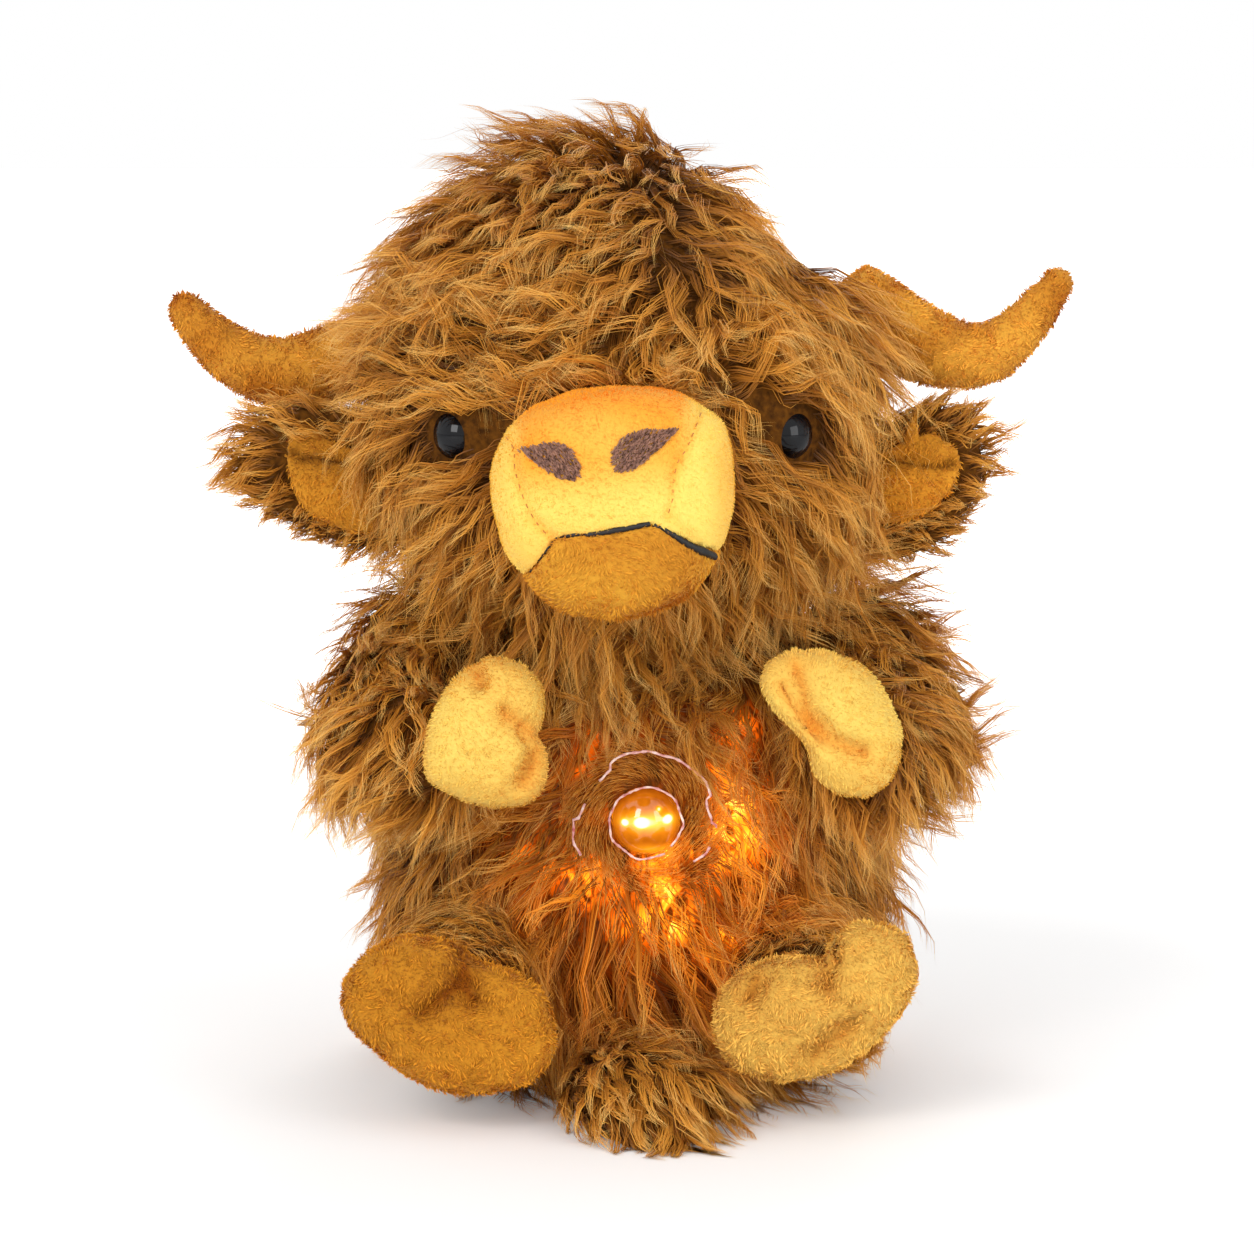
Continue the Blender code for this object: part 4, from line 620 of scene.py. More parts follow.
def ribbons(name, curves, normals, width, level, shade, finish, rng):
    """One object of tapering ribbons along curves, coloured by level and shade, both 0 to 1."""
    count, rows, _ = curves.shape
    tangents = unit(np.gradient(curves, axis=1))
    turn = rng.uniform(-LARGEST_TURN, LARGEST_TURN, (count, 1))
    across = unit(np.cross(tangents[:, 0], normals) + 1e-9)
    side = unit(across * np.cos(turn) + np.cross(across, tangents[:, 0]) * np.sin(turn))
    taper = (1 - np.linspace(0, 1, rows) ** 2.2) * np.where(np.arange(rows) == 0, 0.8, 1)
    points = np.empty((count, 2 * rows - 1, 3))
    for row in range(rows - 1):
        side = unit(side - tangents[:, row] * dots(side, tangents[:, row]))
        half = side * (width * taper[row] / 2)[:, None]
        points[:, 2 * row] = curves[:, row] - half
        points[:, 2 * row + 1] = curves[:, row] + half
    points[:, -1] = curves[:, -1]
    points[:, :, 2] = np.maximum(points[:, :, 2], FLOOR_GAP)
    pattern = []
    for row in range(rows - 2):
        a = 2 * row
        pattern += [(a, a + 1, a + 3), (a, a + 3, a + 2)]
    pattern.append((2 * rows - 4, 2 * rows - 3, 2 * rows - 2))
    faces = np.array(pattern)[None] + (np.arange(count) * (2 * rows - 1))[:, None, None]
    column = (np.round(level * LEVELS) + 0.1 + 0.8 * shade) / (LEVELS + 1)
    half_column = 0.004
    spots = np.empty((count, 2 * rows - 1, 2))
    spots[:, :, 0] = column[:, None]
    spots[:, :-1:2, 0] -= half_column
    spots[:, 1:-1:2, 0] += half_column
    spots[:, :-1, 1] = np.repeat(np.arange(rows - 1) / (rows - 1), 2)
    spots[:, -1, 1] = 1
    mesh = mesh_of(points.reshape(-1, 3), faces.reshape(-1, 3), name, spots.reshape(-1, 2))
    return shown(name, mesh, finish)


# %% [markdown]
# ## Making the velboa forms
# Each form takes the place of its CAD solid and rides on the same body. The table gives how firmly
# each is stuffed: horns and nose are tight, paws a little softer.
# The nap on them is a second object of very short ribbons, three faces each, lying in slow swirls.
# The nap lies in small curled ridges, higher than the lanes between them; the ridges are painted
# paler, a painted highlight, and the lanes darker, painted shade.

# %% Velboa forms with their nap
SHARE = 1.0
# colours: pale and deep, nap length and swirl size in millimetres, contrast between ridge and lane
# and between the nap's root and tip, which is painted highlight and shade
TONES = {
    "nose": ("#FDDB6C", "#FBA42C", 0.7, 20, 0.07),
    "lip": ("#EDAE38", "#C4741A", 1.7, 10, 0.2),
    "horn": ("#FAB440", "#C87416", 1.8, 4, 0.42),
    "hand": ("#FAD468", "#F0A038", 1.2, 14, 0.2),
    # the left foot's colours are deeper than the right's: painted shade on one of two like feet
    "foot_left": ("#EAA02C", "#9C5204", 1.8, 4, 0.42),
    "foot_right": ("#FBC75C", "#CC7A1A", 1.8, 4, 0.42),
    "lining": ("#EDA02E", "#6E3A04", 1.6, 5, 0.4),
}
# The left horn, foot and ear lining start from a deeper base than the right ones: painted shade.
# body, tone, depth of colour, how firmly it is stuffed
VELBOA = {
    "muzzle_upper": ("body", "nose", nose_depth, 0.9),
    "muzzle_lower": ("body", "lip", lip_depth, 0.85),
    "horn_left": ("body", "horn", horn_depth(0.42), 0.95),
    "horn_right": ("body", "horn", horn_depth(0.16), 0.95),
    "hand_left": ("arm_left", "hand", painted_crease_shade("hand_left", 0.10, 0.26, 0.34), 0.75),
    "hand_right": ("arm_right", "hand", painted_crease_shade("hand_right", 0.06, 0.18, 0.45), 0.75),
    "foot_left": ("leg_left", "foot_left", painted_crease_shade("foot_left", 0.28, 0.24, 0.34), 0.8),
    "foot_right": ("leg_right", "foot_right", painted_crease_shade("foot_right", 0.14, 0.24, 0.34), 0.8),
    "ear_lining_left": ("ear_left", "lining", painted_crease_shade("ear_lining_left", 0.22, 0.1, 0.6, 1.2), 0.4),
    "ear_lining_right": ("ear_right", "lining", painted_crease_shade("ear_lining_right", 0.0, 0.1, 0.6, 1.2), 0.4),
}
NAP_PER_MM2 = 2.1
LONG_NAP = 1.3  # millimetres, from which the nap leans more and is drawn wider
RIDGE_STEPS = (-0.001, -0.0005, 0, 0.0005, 0.001)
finishes = {}
forms = {}


def nap_on(form, name, length, swirl, finish, depth_at, rng):
    """Short leaning pile over a form, in swirls of the given size."""
    roots, normals = scatter(form, NAP_PER_MM2 * SHARE, rng)
    lean = waves(roots, swirl / 1000, 11) * 0.9 + [0, 0, -0.4]
    lean = lean - normals * dots(lean, normals)
    upright = 0.75 if length < LONG_NAP else 0.42
    heading = unit(normals * upright + lean + rng.normal(0, 0.18, roots.shape))
    along = unit(lean)
    ridge = sum(waves(roots + along * step, 0.0009, 12)[:, 0] for step in RIDGE_STEPS)
    ridge = np.clip(0.5 + 0.24 * ridge, 0, 1)
    reach = (length / 1000 * (0.5 + 0.65 * ridge) * rng.uniform(0.8, 1.2, len(roots)))[:, None]
    middle = roots + unit(heading + normals * 0.5) * reach * 0.5
    tips = middle + unit(heading + lean * 0.4) * reach * 0.5
    curves = np.stack([roots - normals * 0.0002, middle, tips], axis=1)
    width = rng.uniform(0.26, 0.40, len(roots)) * (1.25 if length > LONG_NAP else 1) / 1000
    # The ridges are painted paler, a painted highlight, with some random tone.
    shade = 0.7 * ridge + 0.3 * rng.uniform(0, 1, len(roots))
    return ribbons(name, curves, normals, width, depth_at(roots), shade, finish, rng)


def make_velboa(node, number):
    tone = VELBOA[node][1]
    pale, deep, _, _, contrast = TONES[tone]
    form = stuffed(node + "_form", copied(node), 0.0013, 9)
    puff(form, 0.022, 0.00035, number)
    forms[node] = form
    if tone not in finishes:
        finishes[tone] = (velboa(f"velboa_{tone}", pale, deep, False, contrast),
                          velboa(f"velboa_{tone}_nap", pale, deep, True, contrast))
    form.data.materials.clear()
    form.data.materials.append(finishes[tone][0])


for number, node in enumerate(VELBOA):
    make_velboa(node, number)
for names, outline in OUTLINES.items():
    mould(names, outline, forms)
for node, lines in CREASES.items():
    for line in on_form(lines, forms[node]):
        pinch(forms[node], line, *PINCH[node.split("_")[0]])
    creases[node] = on_form(lines, forms[node])
print("velboa forms:", {node: len(form.data.vertices) for node, form in forms.items()})


# %% [markdown]
# Up close velboa isn't smooth cloth: it has a short pile that makes a soft edge and holds the light
# in patches. A bump in the finish would leave the edge hard, so real nap is grown on each form. It
# comes last, because it has to follow the form as it is after fitting and pinching. Form and nap
# then ride on the same body and stand in for the same CAD piece.

# %% Nap and riding
def finish_velboa(node, number):
    body, tone, depth_at, fill = VELBOA[node]
    _, _, length, swirl, _ = TONES[tone]
    form = forms[node]
    spread = form.data.attributes.new("depth", "FLOAT", "POINT")
    spread.data.foreach_set("value", depth_at(read(form.data)).astype(np.float32))
    rng = np.random.default_rng(100 + number)
    nap = nap_on(form, node + "_nap", length, swirl, finishes[tone][1], depth_at, rng)
    for piece in (form, nap):
        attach(piece, body)
        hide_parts(node)
    return len(nap.data.polygons)


nap_faces = sum(finish_velboa(node, number) for number, node in enumerate(VELBOA))
print("faces of nap:", nap_faces)

# %% [markdown]
# ## Eyes
# The eyes are safety eyes: domed discs of black ABS, moulded in a polished tool, with a stem that
# a washer locks behind the fabric. A lathe shape is right for a turned mould: one profile, spun
# 48 times, with a rolled edge that gives the thin bright line round the rim.

# %% Lathe helper and the eyes
def closed_faces(rings, sides):
    """Triangles over rings of points, with one point before and one after them to close the ends."""
    faces, last = [], 1 + rings * sides
    for index in range(sides):
        after = (index + 1) % sides
        faces.append((0, 1 + after, 1 + index))
        for ring in range(rings - 1):
            a, b = 1 + ring * sides, 1 + (ring + 1) * sides
            faces += [(a + index, a + after, b + after), (a + index, b + after, b + index)]
        faces.append((last - sides + index, last - sides + after, last))
    return np.array(faces)


def lathe(name, profile, sides=48):
    """A closed round form about Z from a profile of radius and height, in millimetres."""
    rings = [(radius, height) for radius, height in profile if radius > 0]
    turns = np.arange(sides) * 2 * math.pi / sides
    points = [np.array([[0, 0, profile[0][1]]])]
    for radius, height in rings:
        points.append(np.stack([radius * np.cos(turns), radius * np.sin(turns),
                                np.full(sides, height)], axis=1))
    points.append(np.array([[0, 0, profile[-1][1]]]))
    return mesh_of(np.concatenate(points) / 1000, closed_faces(len(rings), sides), name)


def eye_profile():
    rounded = [(8.0 - 0.4 * (1 - math.cos(a)), 0.5 + 0.5 * math.sin(a))
               for a in np.linspace(-math.pi / 2, math.pi / 3, 5)]
    crown = [(7.75 * math.cos(a), 1.1 + 6.6 * math.sin(a))
             for a in np.linspace(0.04, math.pi / 2, 14)[:-1]]
    stem = [(0, -14), (1.9, -14), (2.2, -13.6), (2.2, 0.0)]
    return stem + rounded + crown + [(0, 7.7)]


def polished_abs():
    """Polished black ABS: a hard gloss, with faint moulding ripples."""
    made, tree, shader = surface("polished_black_abs", {
        "Roughness": 0.05, "IOR": 1.46, "Specular IOR Level": 0.32})
    place = add(tree, "TexCoord").outputs["Object"]
    ripple = add(tree, "TexNoise", {"Scale": 90.0, "Detail": 2.0}, {"Vector": place})
    tone = add(tree, "ValToRGB", {"stops": [(0.35, "#050507"), (0.7, "#15161A")]}, {0: ripple.outputs[0]})
    tree.links.new(tone.outputs[0], shader.inputs["Base Color"])
    bump = add(tree, "Bump", {"Strength": 0.03, "Distance": 0.0005}, {"Height": ripple.outputs[0]})
    tree.links.new(bump.outputs[0], shader.inputs["Normal"])
    return made


EYE_TURN = math.radians(48)  # each eye looks this far aside
EYES = {"left": (-1, (-0.047319, -0.026216, 0.1986)), "right": (1, (0.048281, -0.026216, 0.1986))}
eye_finish = polished_abs()
for word, (side, middle) in EYES.items():
    mesh = lathe(f"eye_{word}_polished", eye_profile())
    turn = Matrix.Rotation(side * EYE_TURN, 4, "Z") @ Matrix.Rotation(math.pi / 2, 4, "X")
    mesh.transform(Matrix.Translation(middle) @ turn)
    eye = shown(f"eye_{word}_polished", mesh, eye_finish)
    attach(eye, "body")
    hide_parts(f"eye_{word}")
    forms[f"eye_{word}"] = eye

# %% [markdown]
# ## The skin under the pile
# Long-pile fabric is a knitted backing with the pile standing on it. Between the locks the backing
# shows, and it hides the inside. Its deep brown is painted shade, as the locks shade it.
# The CAD solid is the middle of the pile, so the backing is the same form moved inwards: 5 mm on
# the body and less on the small parts. It goes in less where it meets a paw, a horn or the nose,
# as it is sewn to them.

# %% Backing of each long-pile part
def backing(name, mesh, voxel, rounds, depth, neighbours, least):
    """A smooth form, moved inwards by depth but only by least where it meets a neighbour."""
    form = stuffed(name, mesh, voxel, rounds)
    places, normals = read(form.data), read(form.data, "vertex_normals", "vector")
    tree = tree_of(neighbours)
    gaps = np.array([tree.find_nearest(place)[3] for place in places.tolist()])
    inwards = least + (depth - least) * smooth_step(gaps, 0.003, 0.014)
    places = places - normals * inwards[:, None]
    places[:, 2] = np.maximum(places[:, 2], 2 * FLOOR_GAP)
    move_points(form, places)
    return form


EAR_OUTLINES = {
    ("ear_left",): [
        (262, 420), (250, 440), (243, 468), (250, 492), (275, 512), (300, 526), (330, 539), (365, 548),
        (400, 547), (420, 520), (425, 480), (415, 440), (385, 420), (340, 409), (300, 408)],
    ("ear_right",): [
        (895, 420), (930, 408), (962, 414), (977, 436), (982, 468), (976, 494), (962, 516), (942, 538),
        (915, 554), (885, 560), (858, 545), (845, 510), (850, 470), (868, 435)],
}
# face size, rounds of smoothing, depth under the middle of the pile and the least depth
BACKINGS = {
    "torso": (0.0042, 6, 0.0052, 0.0032),
    "head": (0.0042, 6, 0.0052, 0.0028),
    "tail": (0.0020, 4, 0.0018, 0.0015),
    "arm": (0.0030, 8, 0.0045, 0.0012),
    "leg": (0.0030, 8, 0.0045, 0.0012),
    "ear": (0.0018, 4, 0.0020, 0.0008),
}
LIMBS = ["arm_left", "leg_left", "ear_left", "arm_right", "leg_right", "ear_right"]
velboa_and_eyes = list(forms.values())
skins = {}
for node in ["torso", "head", "tail"] + LIMBS:
    voxel, rounds, depth, least = BACKINGS[node.split("_")[0]]
    wrapped = copied(node, hull=node in ("torso", "head"))
    skins[node] = backing(node + "_skin", wrapped, voxel, rounds, depth, velboa_and_eyes, least)
for names, outline in EAR_OUTLINES.items():
    mould(names, outline, skins)
print("backing points:", {name: len(skin.data.vertices) for name, skin in skins.items()})

# %% [markdown]
# ## Where the lamp shines through
# The lamp stands behind the tummy fabric. Its light finds its way out where the pile parts, as
# warm spots, deep orange at the edge and almost yellow in the middle, with a dim red glow between.
# The spots are listed once, as places from the button's centre in millimetres. The backing, the
# hairs and the density of the pile all take the light from that one list.

# %% The glow
BUTTON = Vector((0.007281, -0.0206, 0.082))
# millimetres to the right of the button's centre and above it, radius in millimetres, brightness
GLOW_SPOTS = [
    (27.8, 25, 5, 0.6), (22.5, 14.4, 4, 0.6), (26.7, 4.8, 6, 0.95), (32, 9, 4, 0.6), (36, 3, 5, 0.5),
    (23.5, -3.7, 5, 0.9), (30, -6, 6, 0.8), (36, -4, 4, 0.5), (25.7, -12, 5, 0.8), (28, -18.7, 4, 0.6),
    (20.3, -21, 3, 0.45), (-37.5, -12, 4, 0.5), (-30, -16.6, 4, 0.6), (-21.4, -16.6, 4, 0.7),
    (-15, -16, 4, 0.8), (-17, -22, 4, 0.6), (-8.6, -21, 3.5, 0.55), (5.4, -22, 4.5, 1.0),
    (2, -19, 3, 0.7), (0, -30.5, 5, 0.75), (-6.4, -31.5, 4, 0.6), (8, -32.6, 4.5, 1.0),
    (16, -29, 4, 0.6), (25.7, -34.8, 4, 0.8), (30, -37, 4, 0.55), (19, -40, 4, 0.5),
    (-19.8, 18.7, 3, 0.45), (-19.8, 15.5, 3, 0.45), (-15, 25, 4, 0.35), (-37.5, 1, 3, 0.3),
    (-14, 2.7, 3, 0.35), (6.4, -10.5, 4, 0.85), (0.5, -13, 4, 0.7), (12, -9, 3.5, 0.6),
]


SPOT_SPREAD = 1.55  # the pile scatters each spot's light over a wider circle


def from_button(places):
    """Millimetres to the right of and above the button's centre."""
    return (places[:, 0] - BUTTON.x) * 1000, (places[:, 2] - BUTTON.z) * 1000


def glow_at(places):
    """How much light comes through at each place, 0 to 1. Only the front lets any through."""
    x, z = from_button(places)
    trimmed = 1 - 0.6 * smooth_step(-np.hypot(x, z), -24.0, -18.0)
    total = 0.42 * trimmed * np.exp(-(((x - 4) / 40) ** 2 + ((z + 9) / 33) ** 2))
    for spot_x, spot_z, radius, level in GLOW_SPOTS:
        near = ((x - spot_x) ** 2 + (z - spot_z) ** 2) / (SPOT_SPREAD * radius) ** 2
        total = np.maximum(total, level * np.exp(-near))
    return np.clip(total, 0, 1) * smooth_step(-places[:, 1], -0.012, 0.008)


# %% [markdown]
# Long-pile fabric is acrylic and polyester fibre, dyed in the mass. Each hair is drawn brown at the
# root and golden towards the tip: painted shade where the locks shade their roots, and painted light
# on the tips. No two hairs have quite the same shade. The fibre is smooth, so locks show a broad
# satin highlight; IOR 1.5 is typical.

# %% The pile and backing finishes
def pile_finish():
    made, tree, shader = surface("acrylic_pile", {
        "Roughness": 0.5, "IOR": 1.5, "Specular IOR Level": 0.22, "Sheen Weight": 0.03,
        "Sheen Roughness": 0.5})
    level, shade, height = hair_map(tree)
    # Dark at the root and pale at the tip: painted shade deep in the locks and painted light on the tips.
    golden = add(tree, "ValToRGB", {"stops": [
        (0.0, "#683A0A"), (0.28, "#B8741C"), (0.65, "#EAA63E"), (1.0, "#FFDA86")]}, {0: height})
    russet = add(tree, "ValToRGB", {"stops": [
        (0.0, "#482806"), (0.28, "#8E5410"), (0.65, "#C67E26"), (1.0, "#EBAC4C")]}, {0: height})
    tone = add(tree, "Mix", {"data_type": "RGBA"}, {0: shade, 6: russet.outputs[0], 7: golden.outputs[0]})
    tree.links.new(tone.outputs[2], shader.inputs["Base Color"])
    warm = add(tree, "ValToRGB", {"stops": [
        (0.0, "#7A2A00"), (0.45, "#E86A08"), (0.8, "#FF9A1E"), (1.0, "#FFC040")]}, {0: level})
    fade = add(tree, "MapRange", {"To Min": 1.1, "To Max": 0.3}, {"Value": height})
    lit = add(tree, "Math", {"operation": "MULTIPLY"}, {0: level, 1: fade.outputs[0]})
    tree.links.new(warm.outputs[0], shader.inputs["Emission Color"])
    tree.links.new(lit.outputs[0], shader.inputs["Emission Strength"])
    return made


def backing_finish():
    """The knitted backing: matt, its dark brown painted shade between the locks, with the lamp's spots where
    the glow says.
    """
    made, tree, shader = surface("knitted_backing", {"Roughness": 0.95, "Specular IOR Level": 0.1})
    place = add(tree, "TexCoord").outputs["Object"]
    knit = add(tree, "TexNoise", {"Scale": 420.0, "Detail": 3.0}, {"Vector": place})
    tone = add(tree, "ValToRGB", {"stops": [(0.3, "#3A2006"), (0.7, "#6E4210")]}, {0: knit.outputs[0]})
    tree.links.new(tone.outputs[0], shader.inputs["Base Color"])
    bump = add(tree, "Bump", {"Strength": 0.6, "Distance": 0.001}, {"Height": knit.outputs[0]})
    tree.links.new(bump.outputs[0], shader.inputs["Normal"])
    glow = add(tree, "Attribute", {"attribute_name": "glow"}).outputs["Fac"]
    tall = add(tree, "VectorMath", {"operation": "MULTIPLY", 1: (1.0, 1.0, 0.4)}, {0: place})
    streak = add(tree, "TexNoise", {"Scale": 300.0, "Detail": 3.0, "Distortion": 1.2},
                 {"Vector": tall.outputs[0]})
    gap = add(tree, "MapRange", {"From Min": 0.36, "From Max": 0.56, "To Min": 0.14, "To Max": 1.0},
              {"Value": streak.outputs[0]})
    power = add(tree, "Math", {"operation": "MULTIPLY"}, {0: glow, 1: gap.outputs[0]})
    warm = add(tree, "ValToRGB", {"stops": [
        (0.0, "#7A2400"), (0.35, "#E25A04"), (0.7, "#FF9418"), (1.0, "#FFD050")]}, {0: power.outputs[0]})
    strength = add(tree, "Math", {"operation": "MULTIPLY", 1: 3.6}, {0: power.outputs[0]})
    tree.links.new(warm.outputs[0], shader.inputs["Emission Color"])
    tree.links.new(strength.outputs[0], shader.inputs["Emission Strength"])
    return made


PILE, BACKING = pile_finish(), backing_finish()

# %% [markdown]
# ## Laying out the skins
# The zip's tape lies in the back, so the backing stays below it there. In front, a round patch of
# trimmed pile holds the button, and the backing ends under it.

# %% Skin round the zip and the button
ZIP_X, ZIP_LOW, ZIP_HIGH, ZIP_PLANE = 0.004481, 0.028, 0.136, 0.0876
ZIP_HALF_WIDTH = 0.011
UNDER_TAPE = 0.0012
BACK = 0.05  # the zip lies further back than this
BUTTON_HOLE, PATCH_INNER, PATCH_OUTER = 18, 16, 35  # millimetres from the button's centre
HOLE_FRONT, COVER_FRONT = -0.0175, -0.0178


def fit_torso_skin(skin):
    places = read(skin.data)
    near_zip = ((np.abs(places[:, 0] - ZIP_X) < ZIP_HALF_WIDTH) & (places[:, 1] > BACK)
                & (places[:, 2] > ZIP_LOW) & (places[:, 2] < ZIP_HIGH))
    places[near_zip, 1] = np.minimum(places[near_zip, 1], ZIP_PLANE - UNDER_TAPE)
    x, z = from_button(places)
    gap, front = np.hypot(x, z), places[:, 1] < 0
    hole = front & (gap < BUTTON_HOLE)
    places[hole, 1] = np.maximum(places[hole, 1], HOLE_FRONT)
    cover = front & (gap >= PATCH_INNER) & (gap < PATCH_OUTER)
    places[cover, 1] = np.minimum(places[cover, 1], COVER_FRONT)
    move_points(skin, places)


def body_of(node):
    """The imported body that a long-pile part belongs to: a limb is a body of its own."""
    return node if node in LIMBS else "body"


fit_torso_skin(skins["torso"])
for node, skin in skins.items():
    skin.data.materials.clear()
    skin.data.materials.append(BACKING)
    light = skin.data.attributes.new("glow", "FLOAT", "POINT")
    level = glow_at(read(skin.data)) if node == "torso" else np.zeros(len(skin.data.vertices))
    light.data.foreach_set("value", level.astype(np.float32))
    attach(skin, body_of(node))
    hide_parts(node)

# %% [markdown]
# ## Growing the long pile
# Real long pile hangs together in locks: a few dozen fibres start apart, run side by side and meet
# at the tip, and the whole lock waves once or twice on its way.
# So the pile is grown in two steps. First a guide is grown for each lock, from the way that part
# is combed, gravity, a slow wave and a push away from everything it would run into. Then hairs are
# strewn by area, and each follows the nearest guide, closing in on it towards the tip.

# %% Guides
STEPS = 7  # points along each hair
everything = tree_of(list(forms.values()) + list(skins.values()))


def push_out(places, room):
    """Moves places that are inside or too near any surface out to that distance."""
    for index, place in enumerate(places.tolist()):
        spot, normal, _, gap = everything.find_nearest(place, 0.02)
        if spot is None:
            continue
        inside = (Vector(place) - spot).dot(normal) < 0
        if inside or gap < room[index]:
            places[index] = np.array(spot + normal * room[index])
    return places


def grow_guides(roots, normals, flow, length, stand, sag, curl, wave, rng):
    """Guide curves from each root: points of shape guides by steps by three."""
    step = (length / (STEPS - 1))[:, None]
    flow = unit(flow - normals * dots(flow, normals) * 0.9)
    stand = np.clip(stand * rng.uniform(0.45, 1.7, len(roots)), 0, 0.8)
    heading = unit(normals * stand[:, None] + flow * (1 - stand[:, None]) + rng.normal(0, 0.15, roots.shape))
    curves = [roots]
    for index in range(1, STEPS):
        share = index / (STEPS - 1)
        drop = np.array([0, 0, -1.0]) * sag * share
        heading = unit(heading + drop + flow * 0.2 + rng.normal(0, 0.09, roots.shape))
        room = np.minimum(0.0012 + 0.006 * share * stand, 0.8 * length)
        curves.append(push_out(curves[-1] + heading * step, room))
    curves = np.stack(curves, axis=1)
    along = unit(curves[:, -1] - curves[:, 0])
    first = unit(np.cross(along, normals) + 1e-9)
    second = np.cross(along, first)
    travel = np.linspace(0, 1, STEPS)[None, :] * length[:, None]
    turn = 2 * math.pi * travel / (wave * rng.uniform(0.75, 1.35, (len(roots), 1)))
    turn += rng.uniform(0, 2 * math.pi, (len(roots), 1))
    swing = curl * rng.uniform(0.3, 1.5, (len(roots), 1)) * np.minimum(travel / 0.010, 1) ** 1.3
    curves += (first[:, None] * (np.cos(turn) * swing)[..., None]
               + second[:, None] * (np.sin(turn) * swing * 0.6)[..., None])
    return curves


# %% [markdown]
# A hair follows its guide from its own root. The share by which it has closed in on the guide
# grows along its length; a few strays hardly close in at all, which gives the loose fuzz between
# locks. Roots that would lie under another part are left out, since nobody could see them.

# %% Hairs that follow the guides
def free_above(roots, normals, others):
    """How far each root can see outwards before another part is in the way."""
    reach = np.full(len(roots), 0.06)
    for index, (root, normal) in enumerate(zip(roots.tolist(), normals.tolist())):
        spot, _, _, gap = others.ray_cast(Vector(root), Vector(normal), 0.06)
        if spot is not None:
            reach[index] = gap
    return reach


def one_per_cell(places, size, rng):
    """The first of the places in each cell of a grid, after a shuffle."""
    order = rng.permutation(len(places))
    cells = np.floor(places[order] / size).astype(int)
    _, first = np.unique(cells, axis=0, return_index=True)
    return order[np.sort(first)]


def follow(roots, guide_roots, guide_curves, rng, close):
    """Hairs from roots along their nearest guides."""
    tree = KDTree(len(guide_roots))
    for index, place in enumerate(guide_roots.tolist()):
        tree.insert(place, index)
    tree.balance()
    lead = np.array([tree.find(place)[1] for place in roots.tolist()])
    share = np.linspace(0, 1, STEPS)[None, :, None]
    loose = rng.uniform(0, 1, (len(roots), 1, 1)) < 0.14
    gather = np.where(loose, 0.25, close) * share**0.8
    reach = np.where(loose, rng.uniform(0.55, 1.0, loose.shape), rng.uniform(0.72, 1.04, loose.shape))
    offset = (roots - guide_roots[lead])[:, None]
    curves = roots[:, None] + (guide_curves[lead] - guide_roots[lead][:, None]) * reach
    curves = curves - offset * gather
    sway = rng.normal(0, 1, (len(roots), 1, 3)) * 0.0011
    phase = rng.uniform(0, 7, (len(roots), 1, 1))
    frizz = np.sin(share * 8 + phase) * sway * share * np.where(loose, 2.2, 0.6)
    return curves + frizz + rng.normal(0, 0.00018, curves.shape) * share, lead


# %% [markdown]
# On a real toy like this the long hairs are brushed or trimmed away from the eyes, the button and
# the open ear. Combing each lock round them would take many rules, and one stray rule would hide an
# eye. It is simpler to leave out every hair that passes in front of a round window. A few strays
# stay at the button and the ear, because a perfectly clean edge would look cut with a punch.

# %% Windows that the pile leaves free
FRONT = np.array(away)
EYE_SINE, EYE_COSINE = 0.743, 0.669  # of the angle by which an eye looks aside
LINING_SPOT = traced([(903, 478)], tree_of([forms["ear_lining_right"]]))[0]
BUTTON_WINDOW, LINING_WINDOW, EYE_WINDOW, EYE_FRONT_WINDOW = 0.0185, 0.0085, 0.0078, 0.0058
BESIDE_FOOT = 0.080  # further right than this no hair lies low beside the foot


def crossing(curves, middle, axis, radius):
    """Hairs that pass in front of a round window, seen along its axis."""
    offset = curves - middle
    along = offset @ axis
    off = np.linalg.norm(offset - along[..., None] * axis, axis=-1)
    return ((along > -0.004) & (along < 0.09) & (off < radius)).any(axis=1)


def in_the_way(curves, rng):
    """Hairs that a hand would brush off the eyes, the button, the ear and the floor beside it."""
    stray = rng.uniform(0, 1, len(curves)) <= 0.01
    hidden = crossing(curves, np.array(BUTTON), FRONT, BUTTON_WINDOW) & ~stray
    for side, middle in EYES.values():
        outward = np.array([side * EYE_SINE, -EYE_COSINE, 0])
        hidden |= crossing(curves, middle, outward, EYE_WINDOW + 0.0004 * (side > 0))
        pupil = np.array(middle) + [side * 0.0032, 0, 0]
        hidden |= crossing(curves, pupil, FRONT, EYE_FRONT_WINDOW + 0.0012 * (side > 0))
    stray = rng.uniform(0, 1, len(curves)) <= 0.12
    hidden |= crossing(curves, LINING_SPOT, FRONT, LINING_WINDOW) & ~stray
    hidden |= ((curves[..., 2] < 0.02) & (curves[..., 0] > BESIDE_FOOT)).any(axis=1)
    return hidden


# %% [markdown]
# A hair is kept short where another part lies close above its root, or it would grow into it. Under
# the cheeks and chin, over the tail and at the right horn the real pile does the opposite: it hangs
# in front of its neighbour. Soft zones, 1 in their middle and 0 outside, give it that room. After
# them comes the one function that grows the coat of any part, so that all parts get the same kind
# of pile and differ only in comb, length and steepness.

# %% Places where the pile is longer or hangs free
HORN_ROOT = np.array([0.066, 0.0, 0.246])


def near_horn(places):
    """Round the root of the right horn, which the pile half covers."""
    return np.exp(-(np.linalg.norm(places - HORN_ROOT, axis=1) / 0.022) ** 2)


def low_front(places):
    """The front just above the floor, where the pile sweeps over the tail."""
    between_feet = (places[:, 1] < 0.0) * (np.abs(places[:, 0] - 0.005) < 0.045)
    return smooth_step(-places[:, 2], -0.080, -0.050) * between_feet


